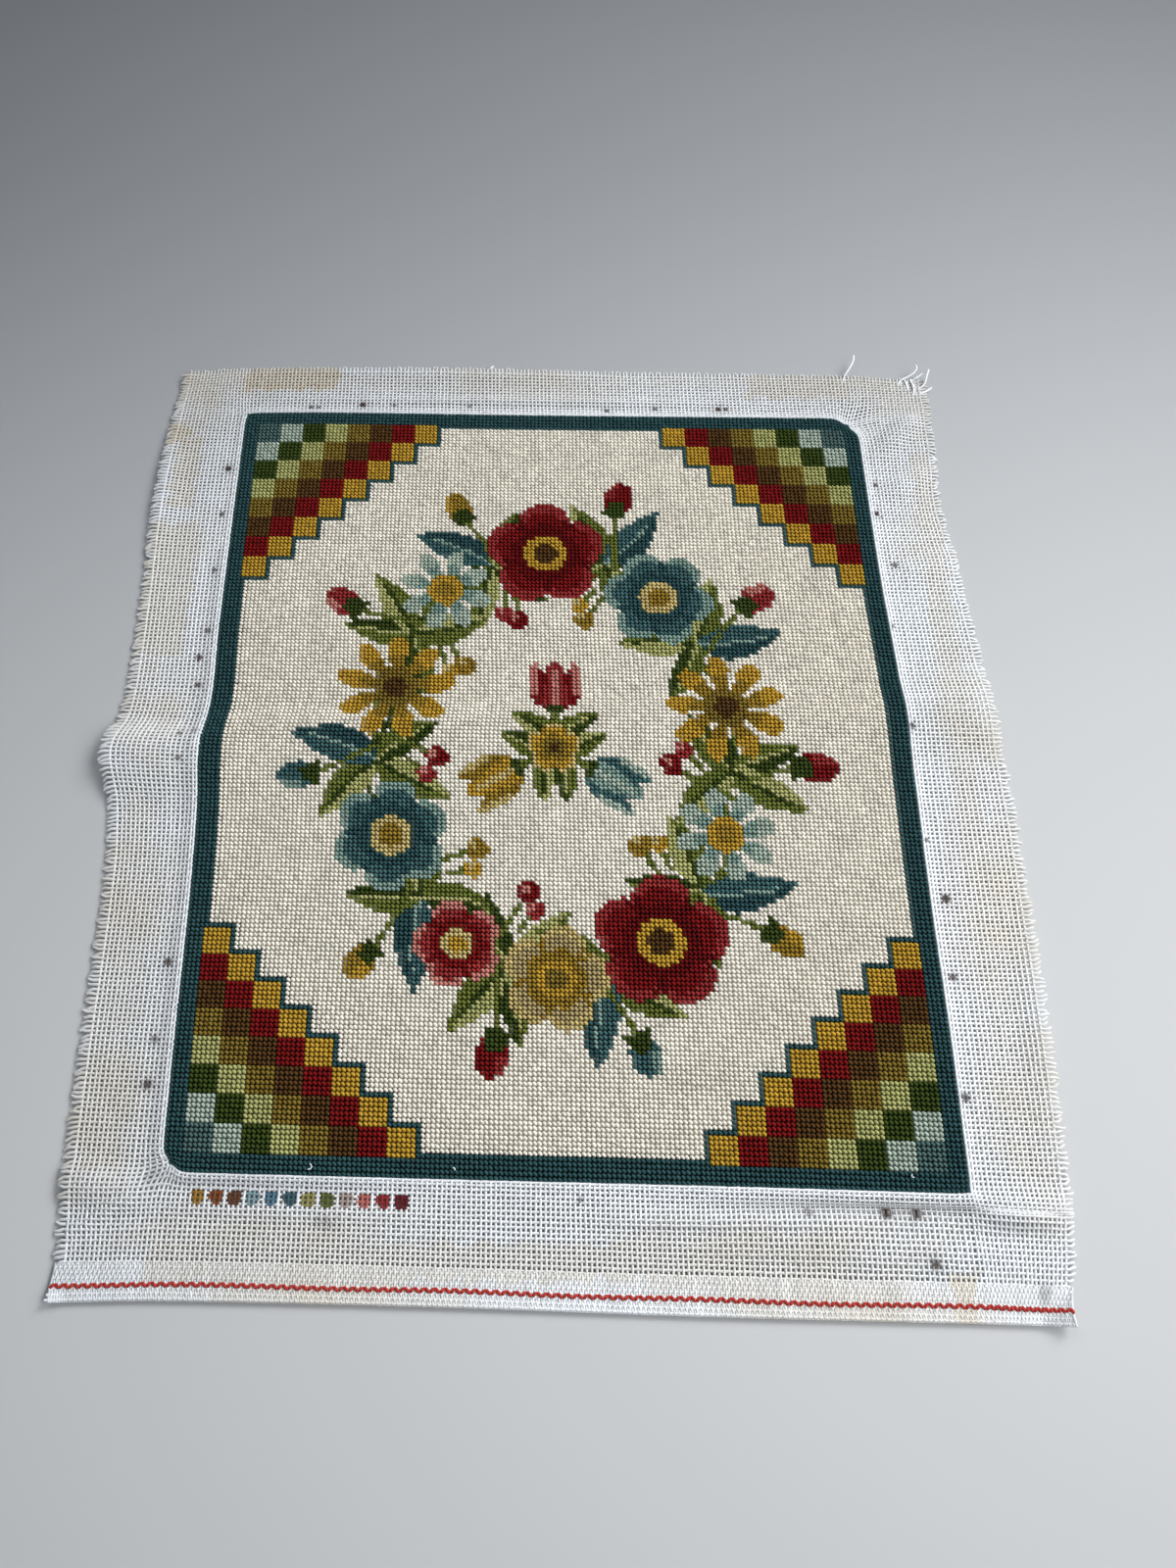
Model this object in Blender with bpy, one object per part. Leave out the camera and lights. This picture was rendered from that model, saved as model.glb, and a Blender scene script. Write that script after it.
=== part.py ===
"""A worked needlepoint canvas panel, lying loose on a flat surface.

The canvas is one cut length of open-weave cotton. The wool stitching lies on it as separate worked
areas: the border frame, the plain ground, a stepped block of checks in each corner, and the one-stitch
outline between the checks and the ground. Every outline is counted in canvas threads, as a stitcher
counts it, and one rule then lays the counted cloth out in metres with its skew, its wandering edges
and its ripples. X runs across the panel, Y up the panel, Z up from the surface.
"""

import math

import bmesh
import bpy
from mathutils import Matrix, Vector

# Counts, in canvas threads (one tent stitch covers one thread each way)
FIELD_COLUMNS = 164
FIELD_ROWS = 194
BORDER = 4
CHECK = 6
CHECKS_PER_ARM = 8
OUTLINE = 1
MARGIN_LEFT = 21
MARGIN_RIGHT = 22
MARGIN_TOP = 16
MARGIN_BOTTOM = 25
SELVEDGE = 7

BLOCK = CHECK * CHECKS_PER_ARM

# Thicknesses, in metres
CANVAS_THICK = 0.0010
WORKED_THICK = 0.0013
PILE_THICK = 0.0010
PILE_AT_RIM = 0.0006
LAYER_GAP = 0.0003

# Gap between neighbouring worked areas and width of the rounded rim, in threads
AREA_INSET = 0.10
RIM = 1.5

# Corners of the worked field and of the cut cloth, in metres about the middle of the cloth
FIELD_CORNERS = {
    "bottom_left": (-0.1680, -0.1968),
    "bottom_right": (0.1852, -0.2055),
    "top_left": (-0.1822, 0.2285),
    "top_right": (0.1737, 0.2203),
}
CLOTH_CORNERS = {
    "bottom_left": (-0.2104, -0.2497),
    "bottom_right": (0.2205, -0.2575),
    "top_left": (-0.2230, 0.2592),
    "top_right": (0.2173, 0.2506),
}

# How far each edge strays outwards from the straight line between its corners.
# Columns: share of the way along (from the bottom or the left), metres outwards
FIELD_STRAY = {
    "left": (
        (0.0, 0.0), (0.13, 0.0007), (0.33, 0.0013), (0.47, 0.0035),
        (0.51, 0.0037), (0.56, 0.0014), (0.66, 0.0018), (1.0, 0.0),
    ),
    "right": ((0.0, 0.0), (0.16, 0.0012), (0.32, 0.0015), (0.55, 0.0028), (0.75, 0.0004), (1.0, 0.0)),
    "bottom": ((0.0, 0.0), (0.34, -0.0001), (0.73, -0.0004), (1.0, 0.0)),
    "top": ((0.0, 0.0), (0.14, 0.0008), (0.50, 0.0), (1.0, 0.0)),
}
CLOTH_STRAY = {
    "left": (
        (0.0, 0.0), (0.03, -0.0020), (0.08, 0.0), (0.22, 0.0015), (0.38, 0.0022), (0.45, 0.0061),
        (0.50, 0.0114), (0.555, 0.0066), (0.63, 0.0055), (0.79, 0.0068), (0.90, 0.0045), (1.0, 0.0),
    ),
    "right": (
        (0.0, 0.0), (0.07, 0.0072), (0.20, 0.0103), (0.45, 0.0118), (0.59, 0.0086),
        (0.75, 0.0020), (0.82, -0.0019), (0.89, -0.0003), (1.0, 0.0),
    ),
    "bottom": ((0.0, 0.0), (0.11, -0.0017), (0.38, -0.0017), (0.63, -0.0004), (1.0, 0.0)),
    "top": (
        (0.0, 0.0), (0.085, 0.0039), (0.33, 0.0041), (0.52, 0.0029),
        (0.90, 0.0006), (0.96, -0.0014), (1.0, 0.0),
    ),
}

# The rows are packed a little closer in the lower blocks.
# Columns: row, share of the way up the worked field
ROW_SHARES = ((0, 0.0), (52, 0.2630), (142, 0.7310), (194, 1.0))

# Each corner of the worked field is drawn in towards its middle.
# Columns: corner, metres inwards along the diagonal, radius of the drawn-in patch
CORNER_PULLS = (
    ("top_left", 0.0025, 0.004),
    ("top_right", 0.0070, 0.0085),
    ("bottom_left", 0.0045, 0.006),
    ("bottom_right", 0.0015, 0.004),
)

# Ripples, each a long mound on the flat cloth.
# Columns: x and y of its middle, turn of its crest in degrees, half length, half width on the near
# (low Y) side, half width on the far side, height; all lengths in metres
RIPPLES = {
    "cross_ripple": (0.000, 0.0200, 2.3, 0.420, 0.042, 0.020, 0.0028),
    "left_edge_bump": (-0.232, 0.0080, -3.0, 0.090, 0.032, 0.024, 0.0056),
    "right_edge_bump": (0.226, 0.0370, 8.0, 0.080, 0.036, 0.024, 0.0035),
    "right_edge_swell": (0.232, -0.1250, 84.0, 0.090, 0.018, 0.018, 0.0022),
    "left_edge_swell": (-0.226, 0.1750, 92.0, 0.070, 0.018, 0.018, 0.0022),
    "top_swell": (-0.060, 0.2620, -1.0, 0.130, 0.016, 0.020, 0.0016),
    "lower_left_crease": (-0.196, -0.2020, -5.0, 0.040, 0.013, 0.012, 0.0026),
    "lower_right_crease": (0.207, -0.2110, 3.0, 0.044, 0.013, 0.012, 0.0032),
    "lower_margin_ridge": (0.125, -0.2255, -2.0, 0.085, 0.013, 0.013, 0.0020),
    "upper_right_fan_a": (0.196, 0.2080, 46.0, 0.030, 0.010, 0.010, 0.0022),
    "upper_right_fan_b": (0.199, 0.1740, 38.0, 0.028, 0.011, 0.011, 0.0020),
    "right_margin_slant": (0.205, 0.1180, 24.0, 0.034, 0.014, 0.012, 0.0020),
    "lower_right_curl": (0.226, -0.2600, 42.0, 0.040, 0.030, 0.016, 0.0050),
    "lower_left_curl": (-0.216, -0.2520, -38.0, 0.036, 0.022, 0.014, 0.0030),
    "upper_left_curl": (-0.228, 0.2640, 40.0, 0.040, 0.018, 0.026, 0.0030),
    "upper_right_curl": (0.222, 0.2560, -42.0, 0.034, 0.016, 0.024, 0.0026),
}

# Yarn and cotton finishes. Columns: colour, roughness
FINISHES = {
    "cotton_canvas": ((0.74, 0.73, 0.70, 1.0), 0.95),
    "teal_wool": ((0.055, 0.130, 0.145, 1.0), 0.92),
    "cream_wool": ((0.62, 0.55, 0.42, 1.0), 0.92),
    "check_wools": ((0.30, 0.17, 0.03, 1.0), 0.92),
}


def stray_at(rows, share):
    """Metres outwards at a share of the way along an edge, on a smooth curve through the rows."""
    share = min(max(share, 0.0), 1.0)
    last = len(rows) - 1
    index = min(max(i for i in range(last) if rows[i][0] <= share), last - 1)
    (s0, y0), (s1, y1) = rows[index], rows[index + 1]
    before = rows[max(index - 1, 0)]
    after = rows[min(index + 2, last)]
    span = s1 - s0
    slope0 = (y1 - before[1]) / (s1 - before[0]) * span
    slope1 = (after[1] - y0) / (after[0] - s0) * span
    t = (share - s0) / span
    return (
        y0 * (1 + 2 * t) * (1 - t) ** 2 + slope0 * t * (1 - t) ** 2
        + y1 * t * t * (3 - 2 * t) + slope1 * t * t * (t - 1)
    )


def blend(knots, values, at):
    """Value at a count, on straight runs between the knots."""
    index = 0
    while index < len(knots) - 2 and at > knots[index + 1]:
        index += 1
    share = (at - knots[index]) / (knots[index + 1] - knots[index])
    return values[index] + (values[index + 1] - values[index]) * share


def side_x(corners, stray, side, share):
    """X of the left or right edge at a share of the way up it."""
    outwards = -1 if side == "left" else 1
    low = corners["bottom_" + side][0]
    high = corners["top_" + side][0]
    return low + (high - low) * share + outwards * stray_at(stray[side], share)


def end_y(corners, stray, end, share):
    """Y of the bottom or top edge at a share of the way across it."""
    outwards = -1 if end == "bottom" else 1
    left = corners[end + "_left"][1]
    right = corners[end + "_right"][1]
    return left + (right - left) * share + outwards * stray_at(stray[end], share)


def spread(column, row):
    """X and Y of a counted place before the corners are drawn in."""
    field_up = row / FIELD_ROWS
    field_across = column / FIELD_COLUMNS
    cloth_up = (row + MARGIN_BOTTOM) / (FIELD_ROWS + MARGIN_BOTTOM + MARGIN_TOP)
    cloth_across = (column + MARGIN_LEFT) / (FIELD_COLUMNS + MARGIN_LEFT + MARGIN_RIGHT)
    x = blend(
        (-MARGIN_LEFT, 0, FIELD_COLUMNS, FIELD_COLUMNS + MARGIN_RIGHT),
        (
            side_x(CLOTH_CORNERS, CLOTH_STRAY, "left", cloth_up),
            side_x(FIELD_CORNERS, FIELD_STRAY, "left", field_up),
            side_x(FIELD_CORNERS, FIELD_STRAY, "right", field_up),
            side_x(CLOTH_CORNERS, CLOTH_STRAY, "right", cloth_up),
        ),
        column,
    )
    if 0 < row < FIELD_ROWS:
        row = FIELD_ROWS * blend(*zip(*ROW_SHARES), row)
    y = blend(
        (-MARGIN_BOTTOM, 0, FIELD_ROWS, FIELD_ROWS + MARGIN_TOP),
        (
            end_y(CLOTH_CORNERS, CLOTH_STRAY, "bottom", cloth_across),
            end_y(FIELD_CORNERS, FIELD_STRAY, "bottom", field_across),
            end_y(FIELD_CORNERS, FIELD_STRAY, "top", field_across),
            end_y(CLOTH_CORNERS, CLOTH_STRAY, "top", cloth_across),
        ),
        row,
    )
    return x, y


def place(column, row):
    """X and Y of a counted place on the lying cloth."""
    x, y = spread(column, row)
    shift_x = shift_y = 0.0
    for corner, depth, radius in CORNER_PULLS:
        corner_x, corner_y = FIELD_CORNERS[corner]
        near = math.exp(-((x - corner_x) ** 2 + (y - corner_y) ** 2) / radius**2)
        shift_x -= math.copysign(depth * near * math.sqrt(0.5), corner_x)
        shift_y -= math.copysign(depth * near * math.sqrt(0.5), corner_y)
    return x + shift_x, y + shift_y


def lift(x, y):
    """Height of the cloth's underside above the surface."""
    height = 0.0
    for middle_x, middle_y, turn, half_length, near, far, crest in RIPPLES.values():
        angle = math.radians(turn)
        along = (x - middle_x) * math.cos(angle) + (y - middle_y) * math.sin(angle)
        across = (y - middle_y) * math.cos(angle) - (x - middle_x) * math.sin(angle)
        reach = (along / half_length) ** 2 + (across / (far if across > 0 else near)) ** 2
        if reach < 1:
            height += crest * (1 - reach) ** 2
    return height


def canvas_thickness(column, row):
    """Thickness of the canvas: fuller where it is worked and in the woven selvedge."""
    outside = max(-column, column - FIELD_COLUMNS, -row, row - FIELD_ROWS, 0)
    if row < SELVEDGE - MARGIN_BOTTOM:
        return WORKED_THICK
    fullness = max(1 - outside / CUT_STEP["margin"], 0)
    return CANVAS_THICK + (WORKED_THICK - CANVAS_THICK) * fullness


def canvas_layer(column, row):
    """Underside and top of the canvas above the flat cloth."""
    return 0.0, canvas_thickness(column, row)


def pile_layer(column, row):
    """Underside and top of the wool, lower where the worked field ends."""
    inside = min(column, FIELD_COLUMNS - column, row, FIELD_ROWS - row)
    fullness = min(max(inside / RIM, 0), 1)
    base = WORKED_THICK + LAYER_GAP
    return base, base + PILE_AT_RIM + (PILE_THICK - PILE_AT_RIM) * fullness


# Spacing of the lines on which the cloth can bend, in threads
CUT_STEP = {"margin": 4, "block": CHECK, "middle": 12, "ripple": 4}
RIPPLE_ROWS = (78, 114)


def cut_lines(start, stop, step):
    """Evenly spaced counts from start to stop, no further apart than step."""
    pieces = max(math.ceil((stop - start) / step), 1)
    return [start + (stop - start) * i / pieces for i in range(pieces)]


def bending_columns():
    """Counts of the columns on which the cloth is cut into facets."""
    inner = BORDER + BLOCK
    return (
        cut_lines(-MARGIN_LEFT, 0, CUT_STEP["margin"])
        + [0]
        + cut_lines(BORDER, inner, CUT_STEP["block"])
        + cut_lines(inner, FIELD_COLUMNS - inner, CUT_STEP["middle"])
        + cut_lines(FIELD_COLUMNS - inner, FIELD_COLUMNS - BORDER, CUT_STEP["block"])
        + [FIELD_COLUMNS - BORDER]
        + cut_lines(FIELD_COLUMNS, FIELD_COLUMNS + MARGIN_RIGHT, CUT_STEP["margin"])
    )


def bending_rows():
    """Counts of the rows on which the cloth is cut into facets."""
    inner = BORDER + BLOCK
    return (
        cut_lines(-MARGIN_BOTTOM, 0, CUT_STEP["margin"])
        + [0]
        + cut_lines(BORDER, inner, CUT_STEP["block"])
        + cut_lines(inner, RIPPLE_ROWS[0], CUT_STEP["middle"])
        + cut_lines(RIPPLE_ROWS[0], RIPPLE_ROWS[1], CUT_STEP["ripple"])
        + cut_lines(RIPPLE_ROWS[1], FIELD_ROWS - inner, CUT_STEP["middle"])
        + cut_lines(FIELD_ROWS - inner, FIELD_ROWS - BORDER, CUT_STEP["block"])
        + [FIELD_ROWS - BORDER]
        + cut_lines(FIELD_ROWS, FIELD_ROWS + MARGIN_TOP, CUT_STEP["margin"])
    )


def rectangle(left, bottom, right, top):
    """Counted outline of a rectangle."""
    return [(left, bottom), (right, bottom), (right, top), (left, top)]


def steps(grow, end):
    """Stepped edge of a corner block, grown outwards by a count, from its foot to its head at a count."""
    points = []
    for check in range(CHECKS_PER_ARM):
        reach = (CHECKS_PER_ARM - check) * CHECK + grow
        foot = check * CHECK + grow if check else end
        points += [(reach, foot), (reach, (check + 1) * CHECK + grow)]
    return points + [(end, BLOCK + grow)]


def in_corner(points, corner):
    """Counted outline of a bottom-left block moved to, and mirrored into, a named corner."""
    right = corner.endswith("right")
    top = corner.startswith("top")
    moved = []
    for column, row in points:
        column = FIELD_COLUMNS - BORDER - column if right else BORDER + column
        row = FIELD_ROWS - BORDER - row if top else BORDER + row
        moved.append((column, row))
    return moved


def ground_outline():
    """Counted outline of the plain ground between the four stepped corners."""
    edge = steps(OUTLINE, OUTLINE)
    return (
        in_corner(edge, "bottom_left")[::-1]
        + in_corner(edge, "bottom_right")
        + in_corner(edge, "top_right")[::-1]
        + in_corner(edge, "top_left")
    )


def drawn_in(points, amount):
    """Outline moved inwards by a count all the way round."""
    area = sum(a[0] * b[1] - b[0] * a[1] for a, b in zip(points, points[1:] + points[:1]))
    ring = points if area > 0 else points[::-1]
    corners = []
    for before, here, after in zip(ring[-1:] + ring[:-1], ring, ring[1:] + ring[:1]):
        into = Vector((before[1] - here[1], here[0] - before[0])).normalized()
        out = Vector((here[1] - after[1], after[0] - here[0])).normalized()
        corners.append(Vector(here) + (into + out) * amount)
    return corners


def bisect_lines(mesh, axis, lines):
    """Cut a flat mesh along lines of constant column (axis 0) or row (axis 1)."""
    normal = Vector((1, 0, 0)) if axis == 0 else Vector((0, 1, 0))
    for line in lines:
        everything = mesh.verts[:] + mesh.edges[:] + mesh.faces[:]
        bmesh.ops.bisect_plane(mesh, geom=everything, dist=1e-4, plane_co=normal * line, plane_no=normal)


def cloth_slab(name, outline, layer, holes=(), extra_lines=()):
    """One closed sheet over a counted outline, cut into facets and laid on the ripples.

    layer gives the sheet's underside and top at a count, holes the counted rectangles (left, bottom,
    right, top) left out of it, and extra_lines the counts from the field's four edges at which it is
    cut as well.
    """
    mesh = bmesh.new()
    mesh.faces.new([mesh.verts.new((point[0], point[1], 0)) for point in outline])
    columns = bending_columns() + list(extra_lines) + [FIELD_COLUMNS - line for line in extra_lines]
    rows = bending_rows() + list(extra_lines) + [FIELD_ROWS - line for line in extra_lines]
    for left, bottom, right, top in holes:
        columns += [left, right]
        rows += [bottom, top]
    bisect_lines(mesh, 0, columns)
    bisect_lines(mesh, 1, rows)
    left_out = set()
    for left, bottom, right, top in holes:
        for face in mesh.faces:
            middle = face.calc_center_median()
            if left < middle.x < right and bottom < middle.y < top:
                left_out.add(face)
    bmesh.ops.delete(mesh, geom=list(left_out), context="FACES")
    underside = mesh.verts[:]
    made = bmesh.ops.extrude_face_region(mesh, geom=mesh.faces[:], use_keep_orig=True)
    top = [item for item in made["geom"] if isinstance(item, bmesh.types.BMVert)]
    for level, verts in enumerate((underside, top)):
        for vert in verts:
            column, row = vert.co.x, vert.co.y
            x, y = place(column, row)
            vert.co = (x, y, lift(x, y) + layer(column, row)[level])
    bmesh.ops.triangulate(mesh, faces=mesh.faces[:], quad_method="SHORT_EDGE", ngon_method="BEAUTY")
    bmesh.ops.recalc_face_normals(mesh, faces=mesh.faces[:])
    data = bpy.data.meshes.new(name)
    mesh.to_mesh(data)
    mesh.free()
    return bpy.data.objects.new(name, data)


def make_finish(name):
    """Material for one of the named finishes."""
    colour, roughness = FINISHES[name]
    finish = bpy.data.materials.new(name)
    finish.use_nodes = True
    shader = finish.node_tree.nodes["Principled BSDF"]
    shader.inputs["Base Color"].default_value = colour
    shader.inputs["Roughness"].default_value = roughness
    shader.inputs["Metallic"].default_value = 0.0
    finish.diffuse_color = colour
    return finish


def build_canvas():
    """The cut cloth, selvedge and all."""
    outline = rectangle(-MARGIN_LEFT, -MARGIN_BOTTOM, FIELD_COLUMNS + MARGIN_RIGHT, FIELD_ROWS + MARGIN_TOP)
    return cloth_slab("canvas", outline, canvas_layer)


def build_border():
    """The frame of border stitches, one stitch wider where it runs beside the plain ground."""
    outer = drawn_in(rectangle(0, 0, FIELD_COLUMNS, FIELD_ROWS), AREA_INSET)
    low = BORDER - AREA_INSET
    reach = BORDER + BLOCK + OUTLINE + AREA_INSET
    ground = BORDER + OUTLINE - AREA_INSET
    holes = [(ground, ground, FIELD_COLUMNS - ground, FIELD_ROWS - ground)]
    for columns in ((low, reach), (FIELD_COLUMNS - reach, FIELD_COLUMNS - low)):
        for rows in ((low, reach), (FIELD_ROWS - reach, FIELD_ROWS - low)):
            holes.append((columns[0], rows[0], columns[1], rows[1]))
    return cloth_slab("border_stitching", outer, pile_layer, holes, extra_lines=(RIM,))


def build_ground():
    """The plain stitched ground."""
    return cloth_slab("ground_stitching", drawn_in(ground_outline(), AREA_INSET), pile_layer)


def build_corner(corner):
    """The stepped block of checks in a corner, and the outline along its steps."""
    block = [(0, 0)] + steps(0, 0)
    outline = steps(OUTLINE, 0) + steps(0, 0)[::-1]
    yield cloth_slab("checks_" + corner, drawn_in(in_corner(block, corner), AREA_INSET), pile_layer)
    yield cloth_slab("step_outline_" + corner, drawn_in(in_corner(outline, corner), AREA_INSET), pile_layer)


def main():
    """Build the panel, with the middle of its footprint at the origin."""
    for old in list(bpy.data.objects):
        bpy.data.objects.remove(old)
    panel = bpy.data.collections.new("needlepoint_canvas_panel")
    bpy.context.scene.collection.children.link(panel)
    finishes = {name: make_finish(name) for name in FINISHES}
    pieces = [
        (build_canvas(), "cotton_canvas"),
        (build_border(), "teal_wool"),
        (build_ground(), "cream_wool"),
    ]
    for corner in FIELD_CORNERS:
        checks, outline = build_corner(corner)
        pieces += [(checks, "check_wools"), (outline, "teal_wool")]
    points = [vert.co for vert in pieces[0][0].data.vertices]
    middle = [(min(p[axis] for p in points) + max(p[axis] for p in points)) / 2 for axis in range(2)]
    for piece, finish in pieces:
        piece.data.transform(Matrix.Translation((-middle[0], -middle[1], 0)))
        piece.data.materials.append(finishes[finish])
        panel.objects.link(piece)


main()
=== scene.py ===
"""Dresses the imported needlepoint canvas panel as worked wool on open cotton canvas.

Every place on the cloth is counted in canvas threads, as a stitcher counts it, and one rule lays the
counted cloth out in metres with its skew, its bowed edges and its ripples. Each tent stitch, each canvas
thread and each frayed end is a form of its own.
"""

from __future__ import annotations

import logging
import math
from dataclasses import dataclass
from enum import Enum

import bpy
import numpy as np
from mathutils import Matrix, Vector

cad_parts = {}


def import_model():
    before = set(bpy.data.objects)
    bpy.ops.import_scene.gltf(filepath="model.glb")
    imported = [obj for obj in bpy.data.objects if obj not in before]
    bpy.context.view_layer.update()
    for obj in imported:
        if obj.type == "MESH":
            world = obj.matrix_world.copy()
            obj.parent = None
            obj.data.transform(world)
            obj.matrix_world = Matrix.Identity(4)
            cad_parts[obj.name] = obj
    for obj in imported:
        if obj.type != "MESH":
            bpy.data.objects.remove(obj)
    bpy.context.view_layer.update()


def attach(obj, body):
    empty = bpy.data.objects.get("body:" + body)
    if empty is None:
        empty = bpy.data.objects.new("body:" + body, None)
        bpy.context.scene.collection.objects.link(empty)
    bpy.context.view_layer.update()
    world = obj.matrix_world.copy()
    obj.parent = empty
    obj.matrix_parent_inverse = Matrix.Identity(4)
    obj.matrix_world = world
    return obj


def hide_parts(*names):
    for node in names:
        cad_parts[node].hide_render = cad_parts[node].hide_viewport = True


LOG = logging.getLogger("needlepoint")
BODY = "root"

# Counts, in canvas threads
FIELD_COLUMNS = 164
FIELD_ROWS = 194
BORDER = 4
CHECK = 6
CHECKS_PER_ARM = 8
OUTLINE = 1
MARGIN_LEFT = 21
MARGIN_RIGHT = 22
MARGIN_TOP = 16
MARGIN_BOTTOM = 25
SELVEDGE = 7

# Corners of the worked field and of the cut cloth, in metres about the middle of the cloth
FIELD_CORNERS = {
    "bottom_left": (-0.1680, -0.1968),
    "bottom_right": (0.1852, -0.2055),
    "top_left": (-0.1822, 0.2285),
    "top_right": (0.1737, 0.2203),
}
CLOTH_CORNERS = {
    "bottom_left": (-0.2104, -0.2497),
    "bottom_right": (0.2205, -0.2575),
    "top_left": (-0.2230, 0.2592),
    "top_right": (0.2173, 0.2506),
}

# How far each edge strays outwards from the straight line between its corners.
# Columns: share of the way along (from the bottom or the left), metres outwards
FIELD_STRAY = {
    "left": (
        (0.0, 0.0), (0.13, 0.0007), (0.33, 0.0013), (0.47, 0.0035),
        (0.51, 0.0037), (0.56, 0.0014), (0.66, 0.0018), (1.0, 0.0),
    ),
    "right": ((0.0, 0.0), (0.16, 0.0012), (0.32, 0.0015), (0.55, 0.0028), (0.75, 0.0004), (1.0, 0.0)),
    "bottom": ((0.0, 0.0), (0.34, -0.0001), (0.73, -0.0004), (1.0, 0.0)),
    "top": ((0.0, 0.0), (0.14, 0.0008), (0.50, 0.0), (1.0, 0.0)),
}
CLOTH_STRAY = {
    "left": (
        (0.0, 0.0), (0.03, -0.0020), (0.08, 0.0), (0.22, 0.0015), (0.38, 0.0022), (0.45, 0.0061),
        (0.50, 0.0114), (0.555, 0.0066), (0.63, 0.0055), (0.79, 0.0068), (0.90, 0.0045), (1.0, 0.0),
    ),
    "right": (
        (0.0, 0.0), (0.07, 0.0072), (0.20, 0.0103), (0.45, 0.0118), (0.59, 0.0086),
        (0.75, 0.0020), (0.82, -0.0019), (0.89, -0.0003), (1.0, 0.0),
    ),
    "bottom": ((0.0, 0.0), (0.11, -0.0017), (0.38, -0.0017), (0.63, -0.0004), (1.0, 0.0)),
    "top": (
        (0.0, 0.0), (0.085, 0.0039), (0.33, 0.0041), (0.52, 0.0029),
        (0.90, 0.0006), (0.96, -0.0014), (1.0, 0.0),
    ),
}

# The rows are packed a little closer in the lower blocks.
# Columns: row, share of the way up the worked field
ROW_SHARES = ((0, 0.0), (52, 0.2630), (142, 0.7310), (194, 1.0))

# Each corner of the worked field is drawn in towards its middle.
# Columns: corner, metres inwards along the diagonal, radius of the drawn-in patch
CORNER_PULLS = (
    ("top_left", 0.0012, 0.004),
    ("top_right", 0.0070, 0.0085),
    ("bottom_left", 0.0045, 0.006),
    ("bottom_right", 0.0004, 0.004),
)

# Ripples, each a long mound on the flat cloth.
# Columns: x and y of its middle, turn of its crest in degrees, half length, half width on the near
# (low Y) side, half width on the far side, height; all lengths in metres
RIPPLES = {
    "cross_ripple": (0.000, 0.0200, 2.3, 0.420, 0.042, 0.020, 0.0028),
    "left_edge_bump": (-0.232, 0.0080, -3.0, 0.090, 0.032, 0.024, 0.0056),
    "right_edge_bump": (0.226, 0.0370, 8.0, 0.080, 0.036, 0.024, 0.0035),
    "right_edge_swell": (0.232, -0.1250, 84.0, 0.090, 0.018, 0.018, 0.0022),
    "left_edge_swell": (-0.226, 0.1750, 92.0, 0.070, 0.018, 0.018, 0.0022),
    "top_swell": (-0.060, 0.2620, -1.0, 0.130, 0.016, 0.020, 0.0016),
    "lower_left_crease": (-0.196, -0.2020, -5.0, 0.040, 0.013, 0.012, 0.0026),
    "lower_right_crease": (0.207, -0.2110, 3.0, 0.044, 0.013, 0.012, 0.0032),
    "lower_margin_ridge": (0.125, -0.2255, -2.0, 0.085, 0.013, 0.013, 0.0020),
    "upper_right_fan_a": (0.196, 0.2080, 46.0, 0.030, 0.010, 0.010, 0.0022),
    "upper_right_fan_b": (0.199, 0.1740, 38.0, 0.028, 0.011, 0.011, 0.0020),
    "right_margin_slant": (0.205, 0.1180, 24.0, 0.034, 0.014, 0.012, 0.0020),
    "lower_right_curl": (0.226, -0.2600, 42.0, 0.040, 0.030, 0.016, 0.0050),
    "lower_left_curl": (-0.216, -0.2520, -38.0, 0.036, 0.022, 0.014, 0.0030),
    "upper_left_curl": (-0.228, 0.2640, 40.0, 0.040, 0.018, 0.026, 0.0030),
    "upper_right_curl": (0.222, 0.2560, -42.0, 0.034, 0.016, 0.024, 0.0026),
}

# Wrinkles of the bare canvas that are finer than the solids' facets; same columns as the ripples
WRINKLES = {
    "fold_under_the_frame": (0.098, -0.2192, -1.6, 0.105, 0.0050, 0.0080, 0.0019),
    "fold_under_the_dots": (-0.105, -0.2140, -1.8, 0.085, 0.0060, 0.0080, 0.0010),
    "fold_over_the_frame": (-0.020, 0.2360, -1.2, 0.150, 0.0040, 0.0060, 0.0009),
    "fold_to_lower_left": (-0.189, -0.2130, 28.0, 0.030, 0.0050, 0.0060, 0.0014),
    "fold_to_lower_right": (0.205, -0.2185, -4.0, 0.024, 0.0045, 0.0060, 0.0016),
}


def linear(tone: tuple[float, ...]) -> np.ndarray:
    """Turn a tone given in steps of 0 to 255 into linear light.

    Args:
        tone: Red, green and blue as they look on a screen.

    Returns:
        The same tone in linear light, from 0 to 1.
    """
    value = np.asarray(tone, float) / 255
    return np.where(value <= 0.04045, value / 12.92, ((value + 0.055) / 1.055) ** 2.4)


def eased(share: np.ndarray) -> np.ndarray:
    """Hold a share between 0 and 1, and ease it in and out."""
    share = np.clip(share, 0, 1)
    return share * share * (3 - 2 * share)


def past(counts: np.ndarray, field: int) -> np.ndarray:
    """How far counts lie outside the worked field, before its start or after its end."""
    return np.maximum(np.maximum(-counts, counts - field), 0)


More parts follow.
